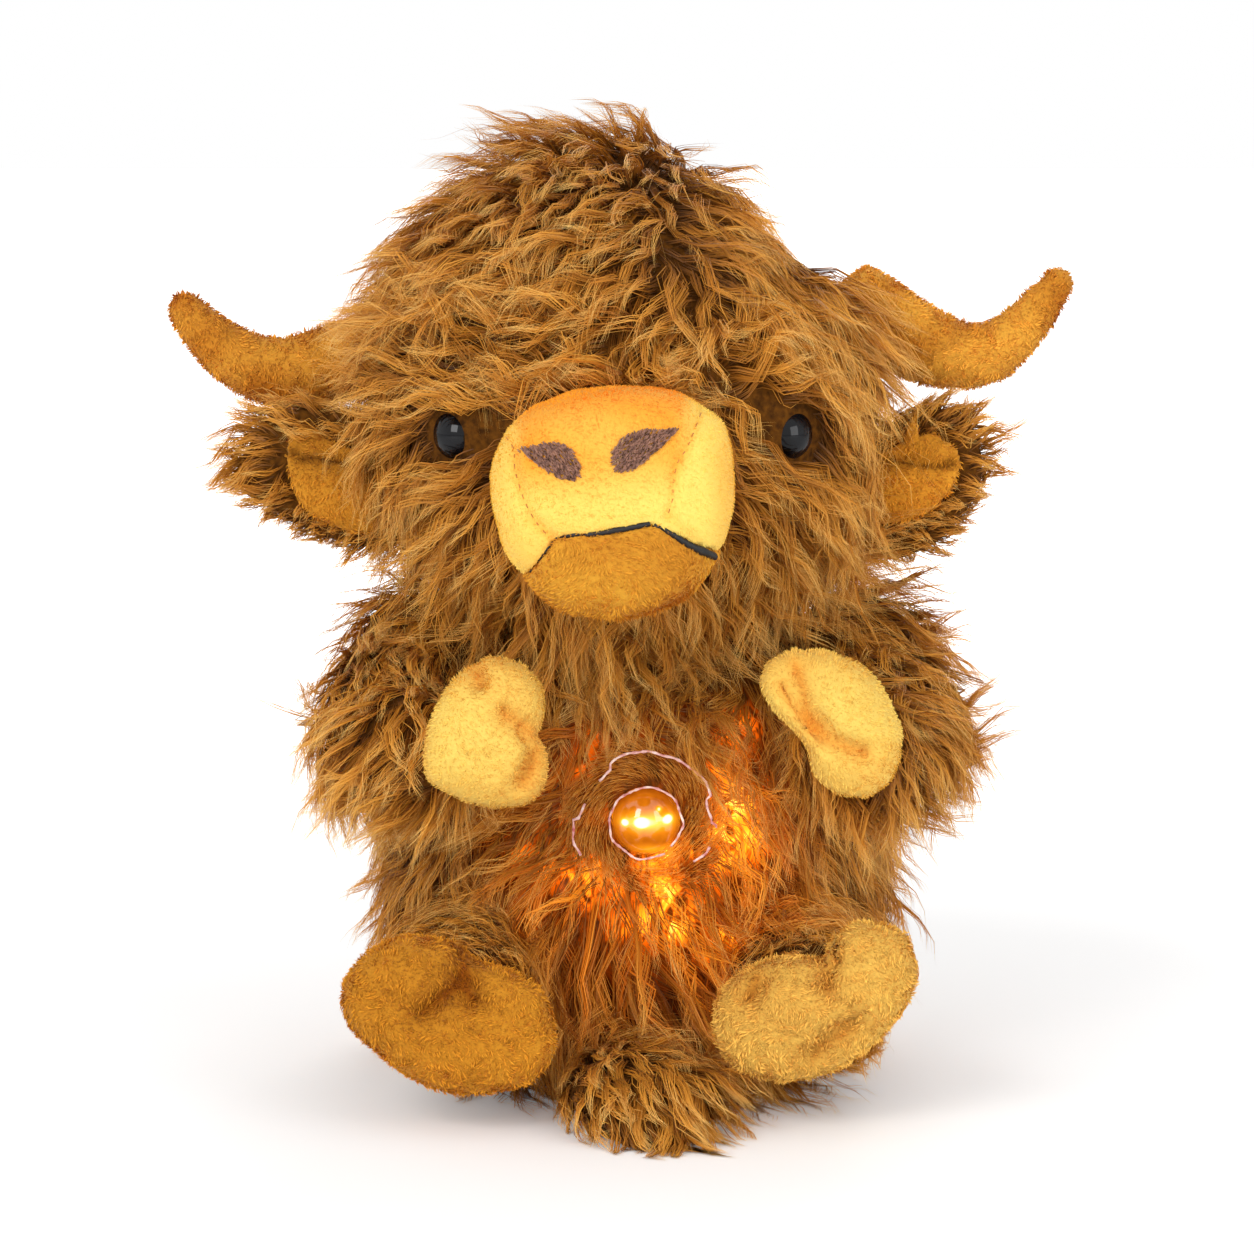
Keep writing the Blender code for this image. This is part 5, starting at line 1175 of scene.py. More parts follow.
def hang(places):
    """Room to hang in front of the body: under the cheeks and chin, over the tail, by the horn."""
    low = smooth_step(-places[:, 2], -0.185, -0.165) * (places[:, 2] > 0.138)
    return 0.05 * low * (places[:, 1] < 0.03) + 0.06 * low_front(places) + 0.025 * near_horn(places)


# %% The coat of one part
LEAST_ROOM = 0.008  # no hair grows where another part is closer than this
PRESS_DEPTH, PRESS_HEIGHT = 0.103, 0.292  # locks that reach further are pressed back towards these


def coat(node, comb, length_at, stand_at, density=0.75, lock=0.0050, sag=0.16, curl=0.0029,
         wave=0.029, close=0.86, width=0.33, seed=0, parts=1, tone_and_painted_light=0.5):
    """Grows the long pile of one part and shows it as one or more objects.

    Density is hairs per square millimetre, width is in millimetres and other lengths are in metres.
    """
    rng = np.random.default_rng(seed)
    skin = skins[node]
    roots, normals = scatter(skin, density * SHARE, rng)
    length = length_at(roots, normals)
    level = np.zeros(len(roots))
    if node == "torso":
        level = glow_at(roots + waves(roots, 0.006, 77) * 0.0025)
    keep = (length > 0.001) & (rng.uniform(0, 1, len(roots)) > 0.8 * level)
    others = tree_of([item for item in [*forms.values(), *skins.values()] if item is not skin])
    room = np.maximum(free_above(roots, normals, others), hang(roots))
    keep &= room > LEAST_ROOM
    length = np.minimum(length, np.maximum(room * 1.4, 0.010)) * (1 - 0.3 * level)
    level = level * np.where(rng.uniform(0, 1, len(roots)) < 0.32, 0.3, 1.0)
    roots, normals, length, level = roots[keep], normals[keep], length[keep], level[keep]
    pick = one_per_cell(roots, lock, rng)
    flow = comb(roots[pick], normals[pick])
    guides = grow_guides(roots[pick], normals[pick], flow,
                         length[pick] * rng.uniform(0.8, 1.18, len(pick)),
                         stand_at(roots[pick], normals[pick]), sag,
                         curl(roots[pick]) if callable(curl) else curl, wave, rng)
    curves, lead = follow(roots, roots[pick], guides, rng, close)
    clear = ~in_the_way(curves, rng)
    roots, normals, level = roots[clear], normals[clear], level[clear]
    curves, lead = curves[clear], lead[clear]
    curves[..., 1] += 0.65 * np.maximum(-PRESS_DEPTH - curves[..., 1], 0)
    curves[..., 1] -= 0.7 * np.maximum(curves[..., 1] - PRESS_DEPTH, 0)
    curves[..., 2] -= 0.6 * np.maximum(curves[..., 2] - PRESS_HEIGHT, 0)
    # How golden a part's hairs are is its tone; it also holds painted light on the brow and the left arm and
    # painted shade low on the body's sides.
    shade = tone_and_painted_light(roots) if callable(tone_and_painted_light) else tone_and_painted_light
    tint = shade + 0.15 * waves(roots, 0.012, seed + 1)[:, 0] + rng.normal(0, 0.28, len(pick))[lead]
    # Over the lamp the hairs are drawn redder and deeper: the lamp's warm light painted into them.
    tint = np.clip(tint - 0.4 * level + rng.normal(0, 0.2, len(roots)), 0, 1)
    widths = width / 1000 * rng.uniform(0.7, 1.25, len(roots)) / SHARE**0.5
    for number, rows in enumerate(np.array_split(np.argsort(roots[:, 2], kind="stable"), parts)):
        name = f"{node}_pile_{number + 1}"
        item = ribbons(name, curves[rows], normals[rows], widths[rows], level[rows] * 0.9, tint[rows],
                       PILE, rng)
        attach(item, body_of(node))
        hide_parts(node)
    print(node, "hairs", len(roots), "locks", len(pick))


# %% [markdown]
# ## Combing the head
# On the crown the pile stands up and falls to all sides like a thatch. Over the forehead it runs
# down and outwards, round the nose it turns away from it, and under the chin it hangs as a beard.

# %% The head's pile
NOSE = np.array([-0.0028, -0.062, 0.190])
CROWN = np.array([-0.004, 0.022, 0.268])


def away_from(places, centre, near, fade):
    """Vectors away from a point, strong within near and fading after it."""
    offset = places - centre
    gap = np.linalg.norm(offset, axis=1, keepdims=True)
    return offset / gap * np.exp(-np.maximum((gap - near) / fade, 0) ** 2)


def brow(places):
    """The band of forehead just above the nose, where the pile lies in a tangle of curls."""
    across = np.exp(-((places[:, 0] / 0.042) ** 4))
    return across * smooth_step(-places[:, 2], -0.252, -0.226) * smooth_step(places[:, 2], 0.196, 0.206)


def sleek_side(places):
    """High on the right, where the pile lies flat and runs straight down."""
    return smooth_step(places[:, 0], 0.01, 0.03) * smooth_step(places[:, 2], 0.215, 0.24)


def comb_head(places, normals):
    """From the crown to all sides, aside over the forehead, down at the cheeks, away from the nose."""
    moved = places + waves(places, 0.03, 23) * 0.014
    top = smooth_step(places[:, 2:3], 0.240, 0.285)
    low = smooth_step(-places[:, 2:3], -0.195, -0.165)
    middle = np.exp(-((moved[:, :1] / 0.03) ** 2))
    sleek = sleek_side(places)[:, None]
    over_nose = brow(places)[:, None]
    spread = unit(places - CROWN) * (0.6 + 0.3 * top)
    front = 0.2 + 0.8 * smooth_step(-places[:, 1:2], -0.05, 0.0)
    sideways = np.tanh((moved[:, :1] - 0.010) / 0.045) * [1.0, 0, 0]
    aside = sideways * (0.85 - 0.35 * low - 0.5 * sleek) * front
    down = np.array([0, 0, -1.0]) * (0.42 + 0.5 * middle + 0.45 * low - 0.25 * top + 0.3 * sleek)
    nose = away_from(places, NOSE, 0.042, 0.022) * [1.2, 0.6, 0.7]
    nose[:, 2] = np.minimum(nose[:, 2], 0.1)
    tangle = waves(places, 0.017, 25) * [1.5, 0, 0.5] * over_nose
    tangle = tangle + near_horn(places)[:, None] * [1.4, -0.7, 1.1]
    return (spread + aside * (1 - 0.6 * over_nose) + down * (1 - 0.45 * over_nose) + nose + tangle
            + waves(places, 0.045, 21) * 0.65 + waves(places, 0.018, 24) * 0.27)


def head_length(places, normals):
    chin = smooth_step(-places[:, 2], -0.178, -0.150) * smooth_step(-places[:, 1], -0.03, 0.02)
    cheek = smooth_step(-places[:, 2], -0.190, -0.165) * smooth_step(np.abs(places[:, 0]), 0.03, 0.05)
    front = np.exp(-(np.linalg.norm(places - NOSE, axis=1) / 0.052) ** 4)
    right = smooth_step(places[:, 0], 0.01, 0.035) * smooth_step(places[:, 2], 0.225, 0.25)
    longer = (0.018 * chin + 0.010 * cheek - 0.008 * front - 0.005 * brow(places)
              + 0.012 * near_horn(places) - 0.006 * right)
    top = smooth_step(places[:, 2], 0.262, 0.280)
    return 0.035 - 0.009 * top + longer + 0.005 * waves(places, 0.03, 22)[:, 0]


def head_stand(places, normals):
    """Steeper on the crown and at the horn, flatter on the sleek side."""
    top = smooth_step(places[:, 2], 0.262, 0.28)
    return 0.29 + 0.2 * top - 0.14 * sleek_side(places) + 0.34 * near_horn(places)


def head_curl(places):
    return (0.0031 + 0.0026 * brow(places))[:, None]


# The pile over the brow is drawn more golden: painted light.
def head_tone_and_brow_light(places):
    return 0.44 + 0.34 * brow(places)


coat("head", comb_head, head_length, head_stand, density=1.0, curl=head_curl, wave=0.026, seed=31, parts=7,
     tone_and_painted_light=head_tone_and_brow_light)

# %% [markdown]
# ## Combing the body
# The body's pile hangs down, a little outwards from the button. Round the button it is trimmed to
# a few millimetres, and along the back it parts to leave the zip free.

# %% The body's pile
def comb_torso(places, normals):
    x, z = from_button(places)
    front = (places[:, 1] < 0.02)[:, None]
    around = np.stack([x, np.zeros(len(x)), z], axis=1) / 30
    parting = np.stack([np.sign(places[:, 0] - ZIP_X), np.zeros(len(x)), np.zeros(len(x))], axis=1)
    behind = (places[:, 1] > BACK + 0.01)[:, None] * np.exp(-(((places[:, :1] - ZIP_X) / 0.016) ** 2))
    sweep = low_front(places)[:, None] * np.array([0.35, -1.0, 0.1])
    return (np.array([0, 0, -0.9]) + sweep + around * 0.55 * front * np.exp(-(x**2 + z**2) / 2500)[:, None]
            + parting * behind * 0.4 + waves(places, 0.035, 41) * 0.5 + waves(places, 0.014, 43) * 0.3)


def torso_length(places, normals):
    x, z = from_button(places)
    front = places[:, 1] < 0.0
    ring = smooth_step(np.hypot(x, z), 19.0, 27.0)
    free = np.where(front, ring, 1.0)
    zip_gap = np.abs(places[:, 0] - ZIP_X)
    on_zip = ((places[:, 1] > BACK) & (zip_gap < 0.0095)
              & (places[:, 2] > ZIP_LOW - 0.004) & (places[:, 2] < ZIP_HIGH + 0.004))
    length = (0.013 + 0.018 * free) + 0.005 * waves(places, 0.03, 42)[:, 0] + 0.034 * low_front(places)
    length = np.where(on_zip | (front & (np.hypot(x, z) < 18.5)), 0, length)
    return np.where(places[:, 2] < 0.004, 0, length)


def torso_stand(places, normals):
    return 0.26 + 0.34 * low_front(places)


def torso_tone_and_side_shade(places):
    """The pile is drawn redder low on the sides: painted shade where the arms and legs shade it."""
    return 0.52 - 0.32 * smooth_step(np.abs(places[:, 0]), 0.05, 0.07) * (places[:, 1] < 0.03)


coat("torso", comb_torso, torso_length, torso_stand, density=0.86, seed=51, parts=5, tone_and_painted_light=torso_tone_and_side_shade)

# %% [markdown]
# ## Combing arms, legs, ears and tail
# Down the arm the pile falls outwards and over the edge of the paw. The ear's pile points away from
# the head in wisps, and the tail's tuft spreads over the floor.

# %% The pile of the moving parts and the tail
def comb_arm(side):
    def comb(places, normals):
        high = smooth_step(places[:, 2:3], 0.125, 0.145)
        return (np.array([side * 0.55, -0.12, -0.75]) + np.array([side * 0.2, -0.25, 0.25]) * high
                + waves(places, 0.03, 61) * 0.5 + waves(places, 0.014, 66) * 0.3)
    return comb


def comb_leg(side):
    def comb(places, normals):
        return np.array([side * 0.9, -0.35, -0.45]) + waves(places, 0.026, 62) * 0.25
    return comb


def comb_ear(side):
    def comb(places, normals):
        rise = (places[:, 2:3] - 0.180) / 0.02
        return np.array([side * 0.8, 0.1, 0.0]) + rise * [0, 0, 0.5] + waves(places, 0.02, 63) * 0.3
    return comb


def comb_tail(places, normals):
    top = smooth_step(places[:, 2], 0.018, 0.030)
    fan = np.stack([places[:, 0] / 0.09 + 0.6, -0.8 - 0.9 * top, np.full(len(places), -0.8)], axis=1)
    return fan + waves(places, 0.02, 64) * 0.25


def tail_length(places, normals):
    """Shorter on the left, so that the tuft ends in points towards the right."""
    return 0.014 + 0.017 * smooth_step(places[:, 0], -0.022, 0.012) + 0.005 * waves(places, 0.012, 65)[:, 0]


def ear_length(places, normals):
    """Long wisps on top of the ear and short pile under it."""
    behind = 0.005 * smooth_step(normals[:, 1], 0.2, 0.7)
    top = (0.009 - 0.004 * (places[:, 0] > 0)) * smooth_step(places[:, 2], 0.176, 0.192)
    return 0.007 + behind + top + 0.003 * waves(places, 0.012, 67)[:, 0]


def leg_length(places, normals):
    return 0.007 + 0.006 * smooth_step(places[:, 2], 0.010, 0.024)


def even(value, spread=0.003):
    return lambda places, normals: value + spread * waves(places, 0.02, 65)[:, 0]


def same(value):
    return lambda places, normals: np.full(len(places), value)


# The left arm's pile is drawn more golden than the right arm's: painted light.
for number, (word, side) in enumerate((("left", -1), ("right", 1))):
    coat(f"arm_{word}", comb_arm(side), even(0.029), same(0.22), density=0.9, tone_and_painted_light=0.74 - 0.24 * side,
         seed=71 + number, parts=2)
    coat(f"leg_{word}", comb_leg(side), leg_length, same(0.24), seed=81 + number)
    coat(f"ear_{word}", comb_ear(side), ear_length, same(0.14), density=1.1, lock=0.0045, tone_and_painted_light=0.62,
         seed=91 + number)
coat("tail", comb_tail, tail_length, same(0.08), density=1.1, lock=0.006, tone_and_painted_light=0.6, seed=101)

# %% [markdown]
# ## The patch and the button
# The button is a dome of clear amber polycarbonate, injection moulded and polished, with four LEDs
# behind it. The plastic spreads their light, so it glows orange all over with a bright yellow
# band and a hot spot at each LED. The pattern is built from distances in the dome's own frame.
# Round it lies a patch of trimmed pile, and pink and white threads run round both in running
# stitch, partly hidden by the pile.

# %% The amber button
# millimetres to the right of and above the button's centre, half width, half height and strength
BUTTON_LIGHTS = (
    (0.5, 0.9, 9.5, 3.3, 0.85), (-6.3, 0.7, 1.1, 1.1, 0.9), (-1.3, 0.9, 1.5, 1.2, 1.4),
    (6.6, 1.8, 1.2, 1.2, 1.2), (3.9, 4.8, 0.8, 0.8, 0.8), (1.5, -7.6, 6.0, 1.8, 0.5),
)


def amber_polycarbonate():
    made, tree, shader = surface("amber_polycarbonate", {
        "Roughness": 0.08, "IOR": 1.585, "Coat Weight": 0.8, "Coat Roughness": 0.03})
    place = add(tree, "TexCoord").outputs["Object"]
    spot = add(tree, "SeparateXYZ", {}, {0: place})
    total = None
    for x, z, wide, high, strength in BUTTON_LIGHTS:
        across = add(tree, "Math", {"operation": "SUBTRACT", 1: BUTTON.x + x / 1000}, {0: spot.outputs["X"]})
        above = add(tree, "Math", {"operation": "SUBTRACT", 1: BUTTON.z + z / 1000}, {0: spot.outputs["Z"]})
        across = add(tree, "Math", {"operation": "MULTIPLY", 1: 1000 / wide}, {0: across.outputs[0]})
        above = add(tree, "Math", {"operation": "MULTIPLY", 1: 1000 / high}, {0: above.outputs[0]})
        both = add(tree, "CombineXYZ", {}, {"X": across.outputs[0], "Y": above.outputs[0]})
        gap = add(tree, "VectorMath", {"operation": "DOT_PRODUCT"}, {0: both.outputs[0], 1: both.outputs[0]})
        negative = add(tree, "Math", {"operation": "MULTIPLY", 1: -1.0}, {0: gap.outputs["Value"]})
        bell = add(tree, "Math", {"operation": "EXPONENT"}, {0: negative.outputs[0]})
        part = add(tree, "Math", {"operation": "MULTIPLY", 1: strength}, {0: bell.outputs[0]})
        if total is None:
            total = part
        else:
            total = add(tree, "Math", {"operation": "ADD"}, {0: total.outputs[0], 1: part.outputs[0]})
    cloud = add(tree, "TexNoise", {"Scale": 260.0, "Detail": 1.0}, {"Vector": place})
    haze = add(tree, "MapRange", {"To Min": -0.06, "To Max": 0.10}, {"Value": cloud.outputs[0]})
    level = add(tree, "Math", {"operation": "ADD"}, {0: total.outputs[0], 1: haze.outputs[0]})
    colour = add(tree, "ValToRGB", {"stops": [
        (0.0, "#B85A06"), (0.25, "#F08A12"), (0.55, "#FFB81E"), (0.8, "#FFE23C"), (1.0, "#FFFBE0")]},
        {0: level.outputs[0]})
    power = add(tree, "MapRange", {"From Max": 1.5, "To Min": 0.45, "To Max": 1.5},
                {"Value": level.outputs[0]})
    tree.links.new(colour.outputs[0], shader.inputs["Emission Color"])
    tree.links.new(power.outputs[0], shader.inputs["Emission Strength"])
    tone = add(tree, "ValToRGB", {"stops": [(0.3, "#A85408"), (0.7, "#C8700E")]}, {0: cloud.outputs[0]})
    tree.links.new(tone.outputs[0], shader.inputs["Base Color"])
    return made


def button_profile():
    flange = [(12.2, -1.4), (12.3, -0.5), (12.0, -0.3), (10.1, -0.25)]
    dome = [(10.0 * math.cos(a), 8.5 * math.sin(a)) for a in np.linspace(0.02, math.pi / 2, 18)[:-1]]
    return [(0, -1.5)] + flange + dome + [(0, 8.5)]


mesh = lathe("button", button_profile(), 64)
mesh.transform(Matrix.Translation(BUTTON) @ Matrix.Rotation(math.pi / 2, 4, "X"))
button = shown("button_dome", mesh, amber_polycarbonate())
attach(button, "dome")
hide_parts("dome_button")

# %% [markdown]
# Round the dome the real pile is cut to about five millimetres, so that the button can be pressed
# and its light comes out. It could be the body's own pile with a shorter length, but the body's
# backing is drawn back there to make room for the dome. So a shallow ring closes that gap, and
# its short hairs lean outwards and a little round, as a thumb would brush them.

# %% The trimmed patch round the button
PATCH_FRONT = -0.0212
PATCH_HAIRS_PER_MM2 = 2.6


def make_patch():
    """A flat stuffed ring with a rolled edge, on which the trimmed pile stands."""
    sides = 72
    turns = np.arange(sides) * 2 * math.pi / sides
    section = [(10.4, 2.4), (10.4, 0.4), (10.9, -0.1), (13, -0.4), (16, -0.3), (19, 0.2), (21.5, 1.4),
               (22.5, 4.0)]
    rings = [np.stack([radius * np.cos(turns), np.full(sides, depth), radius * np.sin(turns)], axis=1)
             for radius, depth in section]
    faces = []
    for ring in range(len(section) - 1):
        for index in range(sides):
            a, b = ring * sides + index, ring * sides + (index + 1) % sides
            faces += [(a, b + sides, b), (a, a + sides, b + sides)]
    points = np.concatenate(rings) / 1000 + [BUTTON.x, PATCH_FRONT, BUTTON.z]
    return mesh_of(points, np.array(faces), "patch")


patch = shown("tummy_patch", make_patch(), BACKING)
light = patch.data.attributes.new("glow", "FLOAT", "POINT")
light.data.foreach_set("value", glow_at(read(patch.data)).astype(np.float32))
rng = np.random.default_rng(7)
roots, normals = scatter(patch, PATCH_HAIRS_PER_MM2 * SHARE, rng)
facing = normals[:, 1] < -0.3
roots, normals = roots[facing], normals[facing]
x, z = from_button(roots)
outward = unit(np.stack([x, np.zeros(len(x)), z], axis=1))
swirl = np.stack([-outward[:, 2], np.zeros(len(x)), outward[:, 0]], axis=1)
heading = unit(normals * 0.5 + outward * 0.55 + swirl * 0.3 + waves(roots, 0.012, 3) * 0.45
               + rng.normal(0, 0.2, roots.shape))
reach = rng.uniform(0.0035, 0.0062, len(x))[:, None]
curves = np.stack([roots, roots + heading * reach * 0.4, roots + unit(heading + swirl * 0.4) * reach * 0.75,
                   roots + unit(heading + swirl * 0.8) * reach], axis=1)
tint = np.clip(0.45 + 0.25 * rng.normal(size=len(x)), 0, 1)
fuzz = ribbons("tummy_patch_pile", curves, normals, rng.uniform(0.2, 0.34, len(x)) / 1000,
               glow_at(roots), tint, PILE, rng)
for piece in (patch, fuzz):
    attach(piece, "body")
    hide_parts("torso")
print("patch hairs:", len(x))

# %% [markdown]
# ## Threads
# Stitches are short tubes that follow the surface they are sewn to. On the nose the line of each
# is a line of picture points, and round the button it is given in millimetres and dropped onto the
# patch from the front. It is then turned into a tube with a gentle twist, as thread is plied from
# two yarns.

# %% Tubes along lines
def dropped(line, tree, lift):
    """Points of X and Z, in millimetres, dropped from the front onto a surface and lifted off it."""
    places = []
    for x, z in line:
        spot, normal, _, _ = tree.ray_cast(Vector((x / 1000, -0.3, z / 1000)), Vector((0, 1, 0)))
        if spot is not None:
            places.append(spot + normal * lift)
    return np.array(places)


def tube(path, radii, sides=8, ply=0.16, lay=0.0022):
    """Points and triangles of a plied thread along a path, closed at both ends."""
    tangents = unit(np.gradient(path, axis=0))
    side = unit(np.cross(tangents[0], [0.31, 0.94, 0.12]))
    travel = np.concatenate([[0], np.cumsum(np.linalg.norm(np.diff(path, axis=0), axis=1))])
    rings = []
    for row, (place, tangent) in enumerate(zip(path, tangents)):
        side = unit(side - tangent * np.dot(side, tangent))
        other = np.cross(tangent, side)
        turns = np.arange(sides) * 2 * math.pi / sides
        swell = 1 + ply * np.cos(2 * (turns + travel[row] / lay * math.pi))
        ring = np.cos(turns)[:, None] * side + np.sin(turns)[:, None] * other
        rings.append(place + radii[row] * swell[:, None] * ring)
    return np.concatenate([path[:1], *rings, path[-1:]]), closed_faces(len(path), sides)


def tubes(name, parts, finish):
    """One object of several tubes."""
    points, faces, start = [], [], 0
    for places, corners in parts:
        points.append(places)
        faces.append(corners + start)
        start += len(places)
    return shown(name, mesh_of(np.concatenate(points), np.concatenate(faces), name), finish)


def polyester_thread(name, dark, light, glow=0.0, sheen=0.2, grain=900.0):
    """Spun polyester sewing thread: plied, softly shiny, a little uneven in shade; a glow is painted light.
    """
    made, tree, shader = surface(name, {"Roughness": 0.55, "Sheen Weight": sheen, "IOR": 1.5})
    place = add(tree, "TexCoord").outputs["Object"]
    fibre = add(tree, "TexNoise", {"Scale": grain, "Detail": 2.0}, {"Vector": place})
    tone = add(tree, "ValToRGB", {"stops": [(0.3, dark), (0.7, light)]}, {0: fibre.outputs[0]})
    tree.links.new(tone.outputs[0], shader.inputs["Base Color"])
    bump = add(tree, "Bump", {"Strength": 0.4, "Distance": 0.0003}, {"Height": fibre.outputs[0]})
    tree.links.new(bump.outputs[0], shader.inputs["Normal"])
    if glow:
        tree.links.new(tone.outputs[0], shader.inputs["Emission Color"])
        shader.inputs["Emission Strength"].default_value = glow
    return made


# %% [markdown]
# The face is sewn by machine: black thread for the mouth, thicker towards its right end, short tan
# stitches along the seams of the nose pad, and brown satin stitch in each nostril, where a few pale
# stitches are painted highlights. A painted line would be quicker, but thread stands up from the
# cloth and casts its own small shadows.

# %% Mouth, seam stitches and nostrils
nose_tree = tree_of([forms["muzzle_upper"], forms["muzzle_lower"]])
BLACK_THREAD = polyester_thread("black_thread", "#040303", "#0E0B09", sheen=0.0)
TAN_THREAD = polyester_thread("tan_thread", "#B5691C", "#D68A34")
BROWN_THREAD = polyester_thread("brown_thread", "#5C3524", "#A27058")
# Pale thread whose stitches are painted highlights in the nostrils.
GLINT_THREAD = polyester_thread("glint_thread", "#C08A5C", "#E8BE8C")
# The pink thread by the button gets a faint glow: painted light of the lamp.
PINK_THREAD = polyester_thread("pink_thread", "#C05A5C", "#FBE2D8", 0.25, grain=420.0)


def mouth_parts():
    """The mouth in three strands: thin on the left, a bar in the middle, thickest on the right."""
    thin = traced(smooth_line([(531, 572), (540, 558), (553, 541)], 0.35), nose_tree, 0.0002)
    bar = traced(smooth_line([(556, 538), (580, 535), (612, 530), (650, 523)], 0.35), nose_tree, 0.0003)
    fall = traced(smooth_line([(654, 524), (668, 533), (690, 546), (713, 556)], 0.35), nose_tree, 0.0003)
    return [tube(thin, np.full(len(thin), 0.0003)),
            tube(bar, 0.00055 + 0.00035 * np.sin(np.linspace(0.5, 2.6, len(bar)))),
            tube(fall, np.linspace(0.0006, 0.0013, len(fall)))]


def running_stitches(line, pitch, tree, radius):
    """Short stitches along a line of picture points, each a pitch of picture points long."""
    path = smooth_line(line, 1)
    made = []
    for start in range(0, len(path) - pitch, pitch * 2):
        bit = traced(path[start : start + pitch], tree)
        if len(bit) > 2:
            made.append(tube(bit, np.full(len(bit), radius), 6))
    return made


NOSTRILS = (
    [(518, 450), (533, 447), (548, 443), (562, 444), (572, 449), (580, 463), (580, 476), (573, 481),
     (559, 478), (545, 470), (532, 460)],
    [(679, 428), (664, 431), (641, 430), (622, 438), (612, 450), (611, 460), (616, 470), (628, 473),
     (642, 464), (655, 453), (667, 442)],
)


def inside(point, outline):
    """Whether a point lies in a closed outline, by counting the edges to its right."""
    hits = False
    for (ax, az), (bx, bz) in zip(outline, outline[1:] + outline[:1]):
        if (az > point[1]) != (bz > point[1]) and point[0] < (bx - ax) * (point[1] - az) / (bz - az) + ax:
            hits = not hits
    return hits


def nostril_parts(outline, slope, rng):
    """Satin stitches that fill an outline."""
    low, high = np.min(outline, axis=0), np.max(outline, axis=0)
    made = []
    for column in np.arange(low[0], high[0], 1.7):
        for row in np.arange(low[1], high[1], 2.5):
            middle = np.array([column, row]) + rng.normal(0, 0.7, 2)
            if not inside(middle, outline):
                continue
            lean = slope + rng.normal(0, 0.28)
            half = np.array([math.cos(lean), math.sin(lean)]) * rng.uniform(1.9, 3.4)
            bit = traced([middle - half, middle - half * 0.3, middle + half * 0.3, middle + half],
                         nose_tree, rng.uniform(0.0003, 0.0008))
            if len(bit) == 4:
                made.append(tube(bit, np.array([0.00014, 0.00026, 0.00026, 0.00014]), 5))
    return made


rng = np.random.default_rng(17)
nostril_left = nostril_parts(NOSTRILS[0], 0.9, rng)
nostril_right = nostril_parts(NOSTRILS[1], -0.9, rng)
seam_stitches = [stitch for seam in CREASES["muzzle_upper"][:2]
                 for stitch in running_stitches(seam, 5, nose_tree, 0.00018)]
threads = [
    tubes("mouth_thread", mouth_parts(), BLACK_THREAD),
    tubes("nose_seam_stitches", seam_stitches, TAN_THREAD),
    tubes("nostril_left_stitches", nostril_left, BROWN_THREAD),
    tubes("nostril_right_stitches", nostril_right, BROWN_THREAD),
    # A few pale stitches in the nostrils: painted highlights.
    tubes("nostril_glints", nostril_left[::6] + nostril_right[::6], GLINT_THREAD),
]
for thread in threads:
    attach(thread, "body")

# %% [markdown]
# Pinkish white threads run round the button. The outer one shows as three arcs, because pile hides
# the rest of it, and the inner one spirals close round the dome. They lie a little above the patch
# and not in it, or its hairs would hide them.

# %% Threads round the button
# millimetres to the right of and above the button's centre
OUTER_ARCS = (
    [(-17.7, -9.1), (-18.6, -5.5), (-19.2, -1.6), (-18.6, 2.5), (-17.1, 5.9)],
    [(-13.4, 12.3), (-10.4, 15.8), (-6.4, 18.4), (-2.2, 19.5), (2.1, 19.6), (6, 18.6), (9.6, 16.6),
     (13.2, 14.2), (16, 11.2), (17.6, 7), (18.4, 2.7), (19.2, -1.6)],
    [(17.7, -6.4), (16.4, -8.6), (13.9, -10.2)],
)
INNER_SPIRAL = [
    (8.2, -7.4), (10.6, -4.6), (11.2, -0.8), (10.8, 3.2), (8.8, 7.0), (5.4, 9.9), (1.6, 11.2), (-2.6, 10.9),
    (-6.6, 9.1), (-9.6, 6.0), (-11.0, 2.0), (-10.9, -2.4), (-9.2, -6.4), (-6.2, -9.3), (-2.2, -11.0),
    (2.0, -10.9), (5.6, -9.6)]
patch_tree = tree_of([patch, skins["torso"]])


def laid(points, lift, radius):
    """A thread that lies on the patch, lifted off it so that it shows between the hairs."""
    line = [(x + BUTTON.x * 1000, z + BUTTON.z * 1000) for x, z in points]
    path = dropped(smooth_line(line), patch_tree, lift)
    wobble = waves(path, 0.004, 5) * 0.0004
    swell = 1 + 0.25 * np.sin(np.arange(len(path)) * 1.9)
    return tube(path + wobble, radius * swell)


ring_threads = tubes("button_ring_threads", [laid(points, 0.0050, 0.00036) for points in OUTER_ARCS]
                     + [laid(INNER_SPIRAL, 0.0042, 0.00032)], PINK_THREAD)
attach(ring_threads, "body")

# %% [markdown]
# ## The parts inside and behind
# The light module, the zip and the eyes' washers keep their CAD shapes and get real finishes:
# moulded ABS with a fine spark-eroded texture, drawn steel, FR-4 board, PVC wire and sleeve, a
# woven polyester tape and a moulded nylon coil. Each finish is one row of a table, because they
# differ only in tone, gloss and the size of their grain.

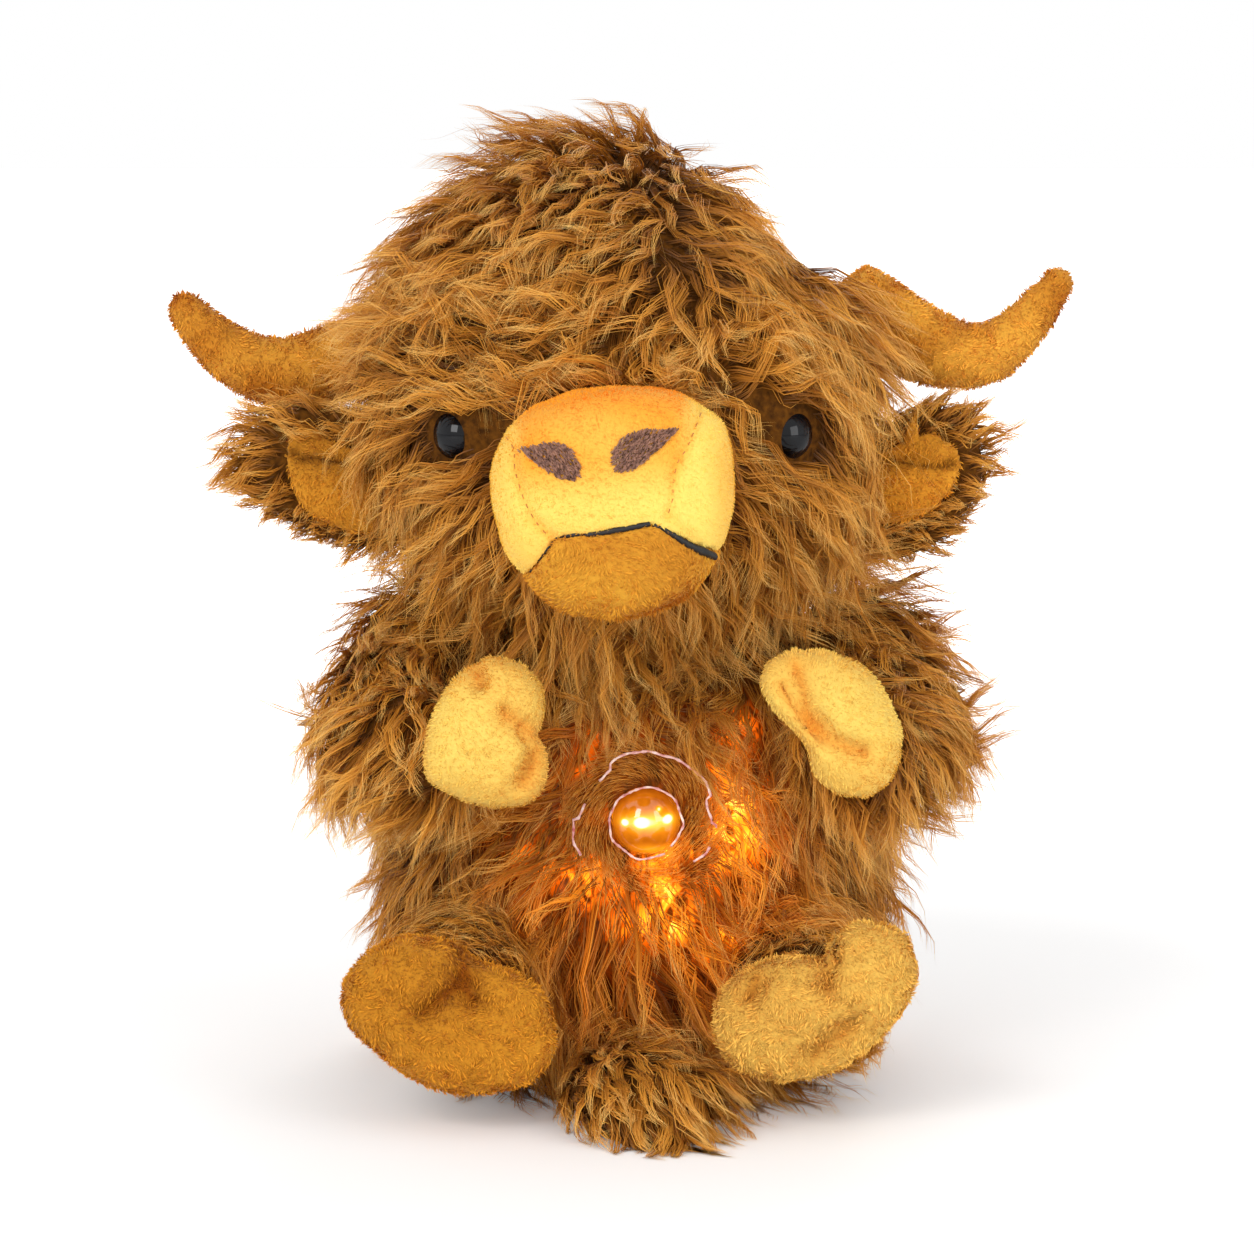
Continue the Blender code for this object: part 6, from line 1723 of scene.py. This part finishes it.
# %% Finishes of the hard parts
#              low tone   high tone  gloss metal IOR  grain per metre, bump
HARD = {
    "white_abs": ("#DAD8CC", "#E8E6DC", 0.38, 0.0, 1.53, 900.0, 0.08),
    "natural_nylon": ("#C9C6BB", "#DEDBD0", 0.45, 0.0, 1.53, 700.0, 0.1),
    "zinc_plated_steel": ("#9C9EA0", "#C4C6C8", 0.28, 1.0, 1.5, 1500.0, 0.06),
    "black_pbt": ("#0F0F10", "#222224", 0.45, 0.0, 1.53, 900.0, 0.08),
    "fr4_board": ("#0E3A1C", "#17542A", 0.35, 0.0, 1.55, 600.0, 0.05),
    "printed_pvc_sleeve": ("#1B1C20", "#33353B", 0.3, 0.0, 1.53, 500.0, 0.04),
    "red_pvc": ("#8E1510", "#B3241C", 0.4, 0.0, 1.53, 1100.0, 0.05),
    "woven_polyester_tape": ("#4E3114", "#7A5223", 0.85, 0.0, 1.5, 1600.0, 0.7),
    "nylon_coil": ("#57391A", "#7F5A2C", 0.4, 0.0, 1.53, 1100.0, 0.2),
    "antique_brass": ("#7A5A2A", "#A67F40", 0.35, 1.0, 1.5, 800.0, 0.1),
}
WORN_BY = {
    "white_abs": ["module_front_shell", "module_rear_shell", "battery_door", "switch_plunger"],
    "natural_nylon": ["eye_washer_left", "eye_washer_right"],
    "zinc_plated_steel": ["button_spring", "contact_end_left", "contact_end_right", "contact_bridge_left",
                          "contact_bridge_right", "door_screw", "housing_screw_1", "housing_screw_2",
                          "housing_screw_3", "housing_screw_4"],
    "black_pbt": ["tact_switch"],
    "fr4_board": ["led_board"],
    "printed_pvc_sleeve": ["battery_cell_1", "battery_cell_2", "battery_cell_3"],
    "red_pvc": ["lead_wire_1", "lead_wire_2"],
    "woven_polyester_tape": ["zip_tape_left", "zip_tape_right"],
    "nylon_coil": [
        "zip_teeth_left", "zip_teeth_right", "zip_stop_bottom", "zip_stop_left", "zip_stop_right"],
    "antique_brass": ["zip_slider", "zip_pull"],
}


def hard_finish(name, low, high, gloss, metal, ior, grain, height):
    made, tree, shader = surface(name, {"Roughness": gloss, "Metallic": metal, "IOR": ior})
    place = add(tree, "TexCoord").outputs["Object"]
    speck = add(tree, "TexNoise", {"Scale": grain, "Detail": 3.0}, {"Vector": place})
    wear = add(tree, "TexNoise", {"Scale": 60.0, "Detail": 2.0}, {"Vector": place})
    mixed = add(tree, "Math", {"operation": "MULTIPLY_ADD", 1: 0.5},
                {0: speck.outputs[0], 2: wear.outputs[0]})
    tone = add(tree, "ValToRGB", {"stops": [(0.5, low), (1.0, high)]}, {0: mixed.outputs[0]})
    rough = add(tree, "MapRange", {"To Min": gloss * 0.8, "To Max": gloss * 1.25},
                {"Value": wear.outputs[0]})
    bump = add(tree, "Bump", {"Strength": height, "Distance": 0.0004}, {"Height": speck.outputs[0]})
    tree.links.new(tone.outputs[0], shader.inputs["Base Color"])
    tree.links.new(rough.outputs[0], shader.inputs["Roughness"])
    tree.links.new(bump.outputs[0], shader.inputs["Normal"])
    return made


for name, nodes in WORN_BY.items():
    finish = hard_finish(name, *HARD[name])
    for node in nodes:
        NODES[node].data.materials.clear()
        NODES[node].data.materials.append(finish)
print("hard finishes:", len(WORN_BY))
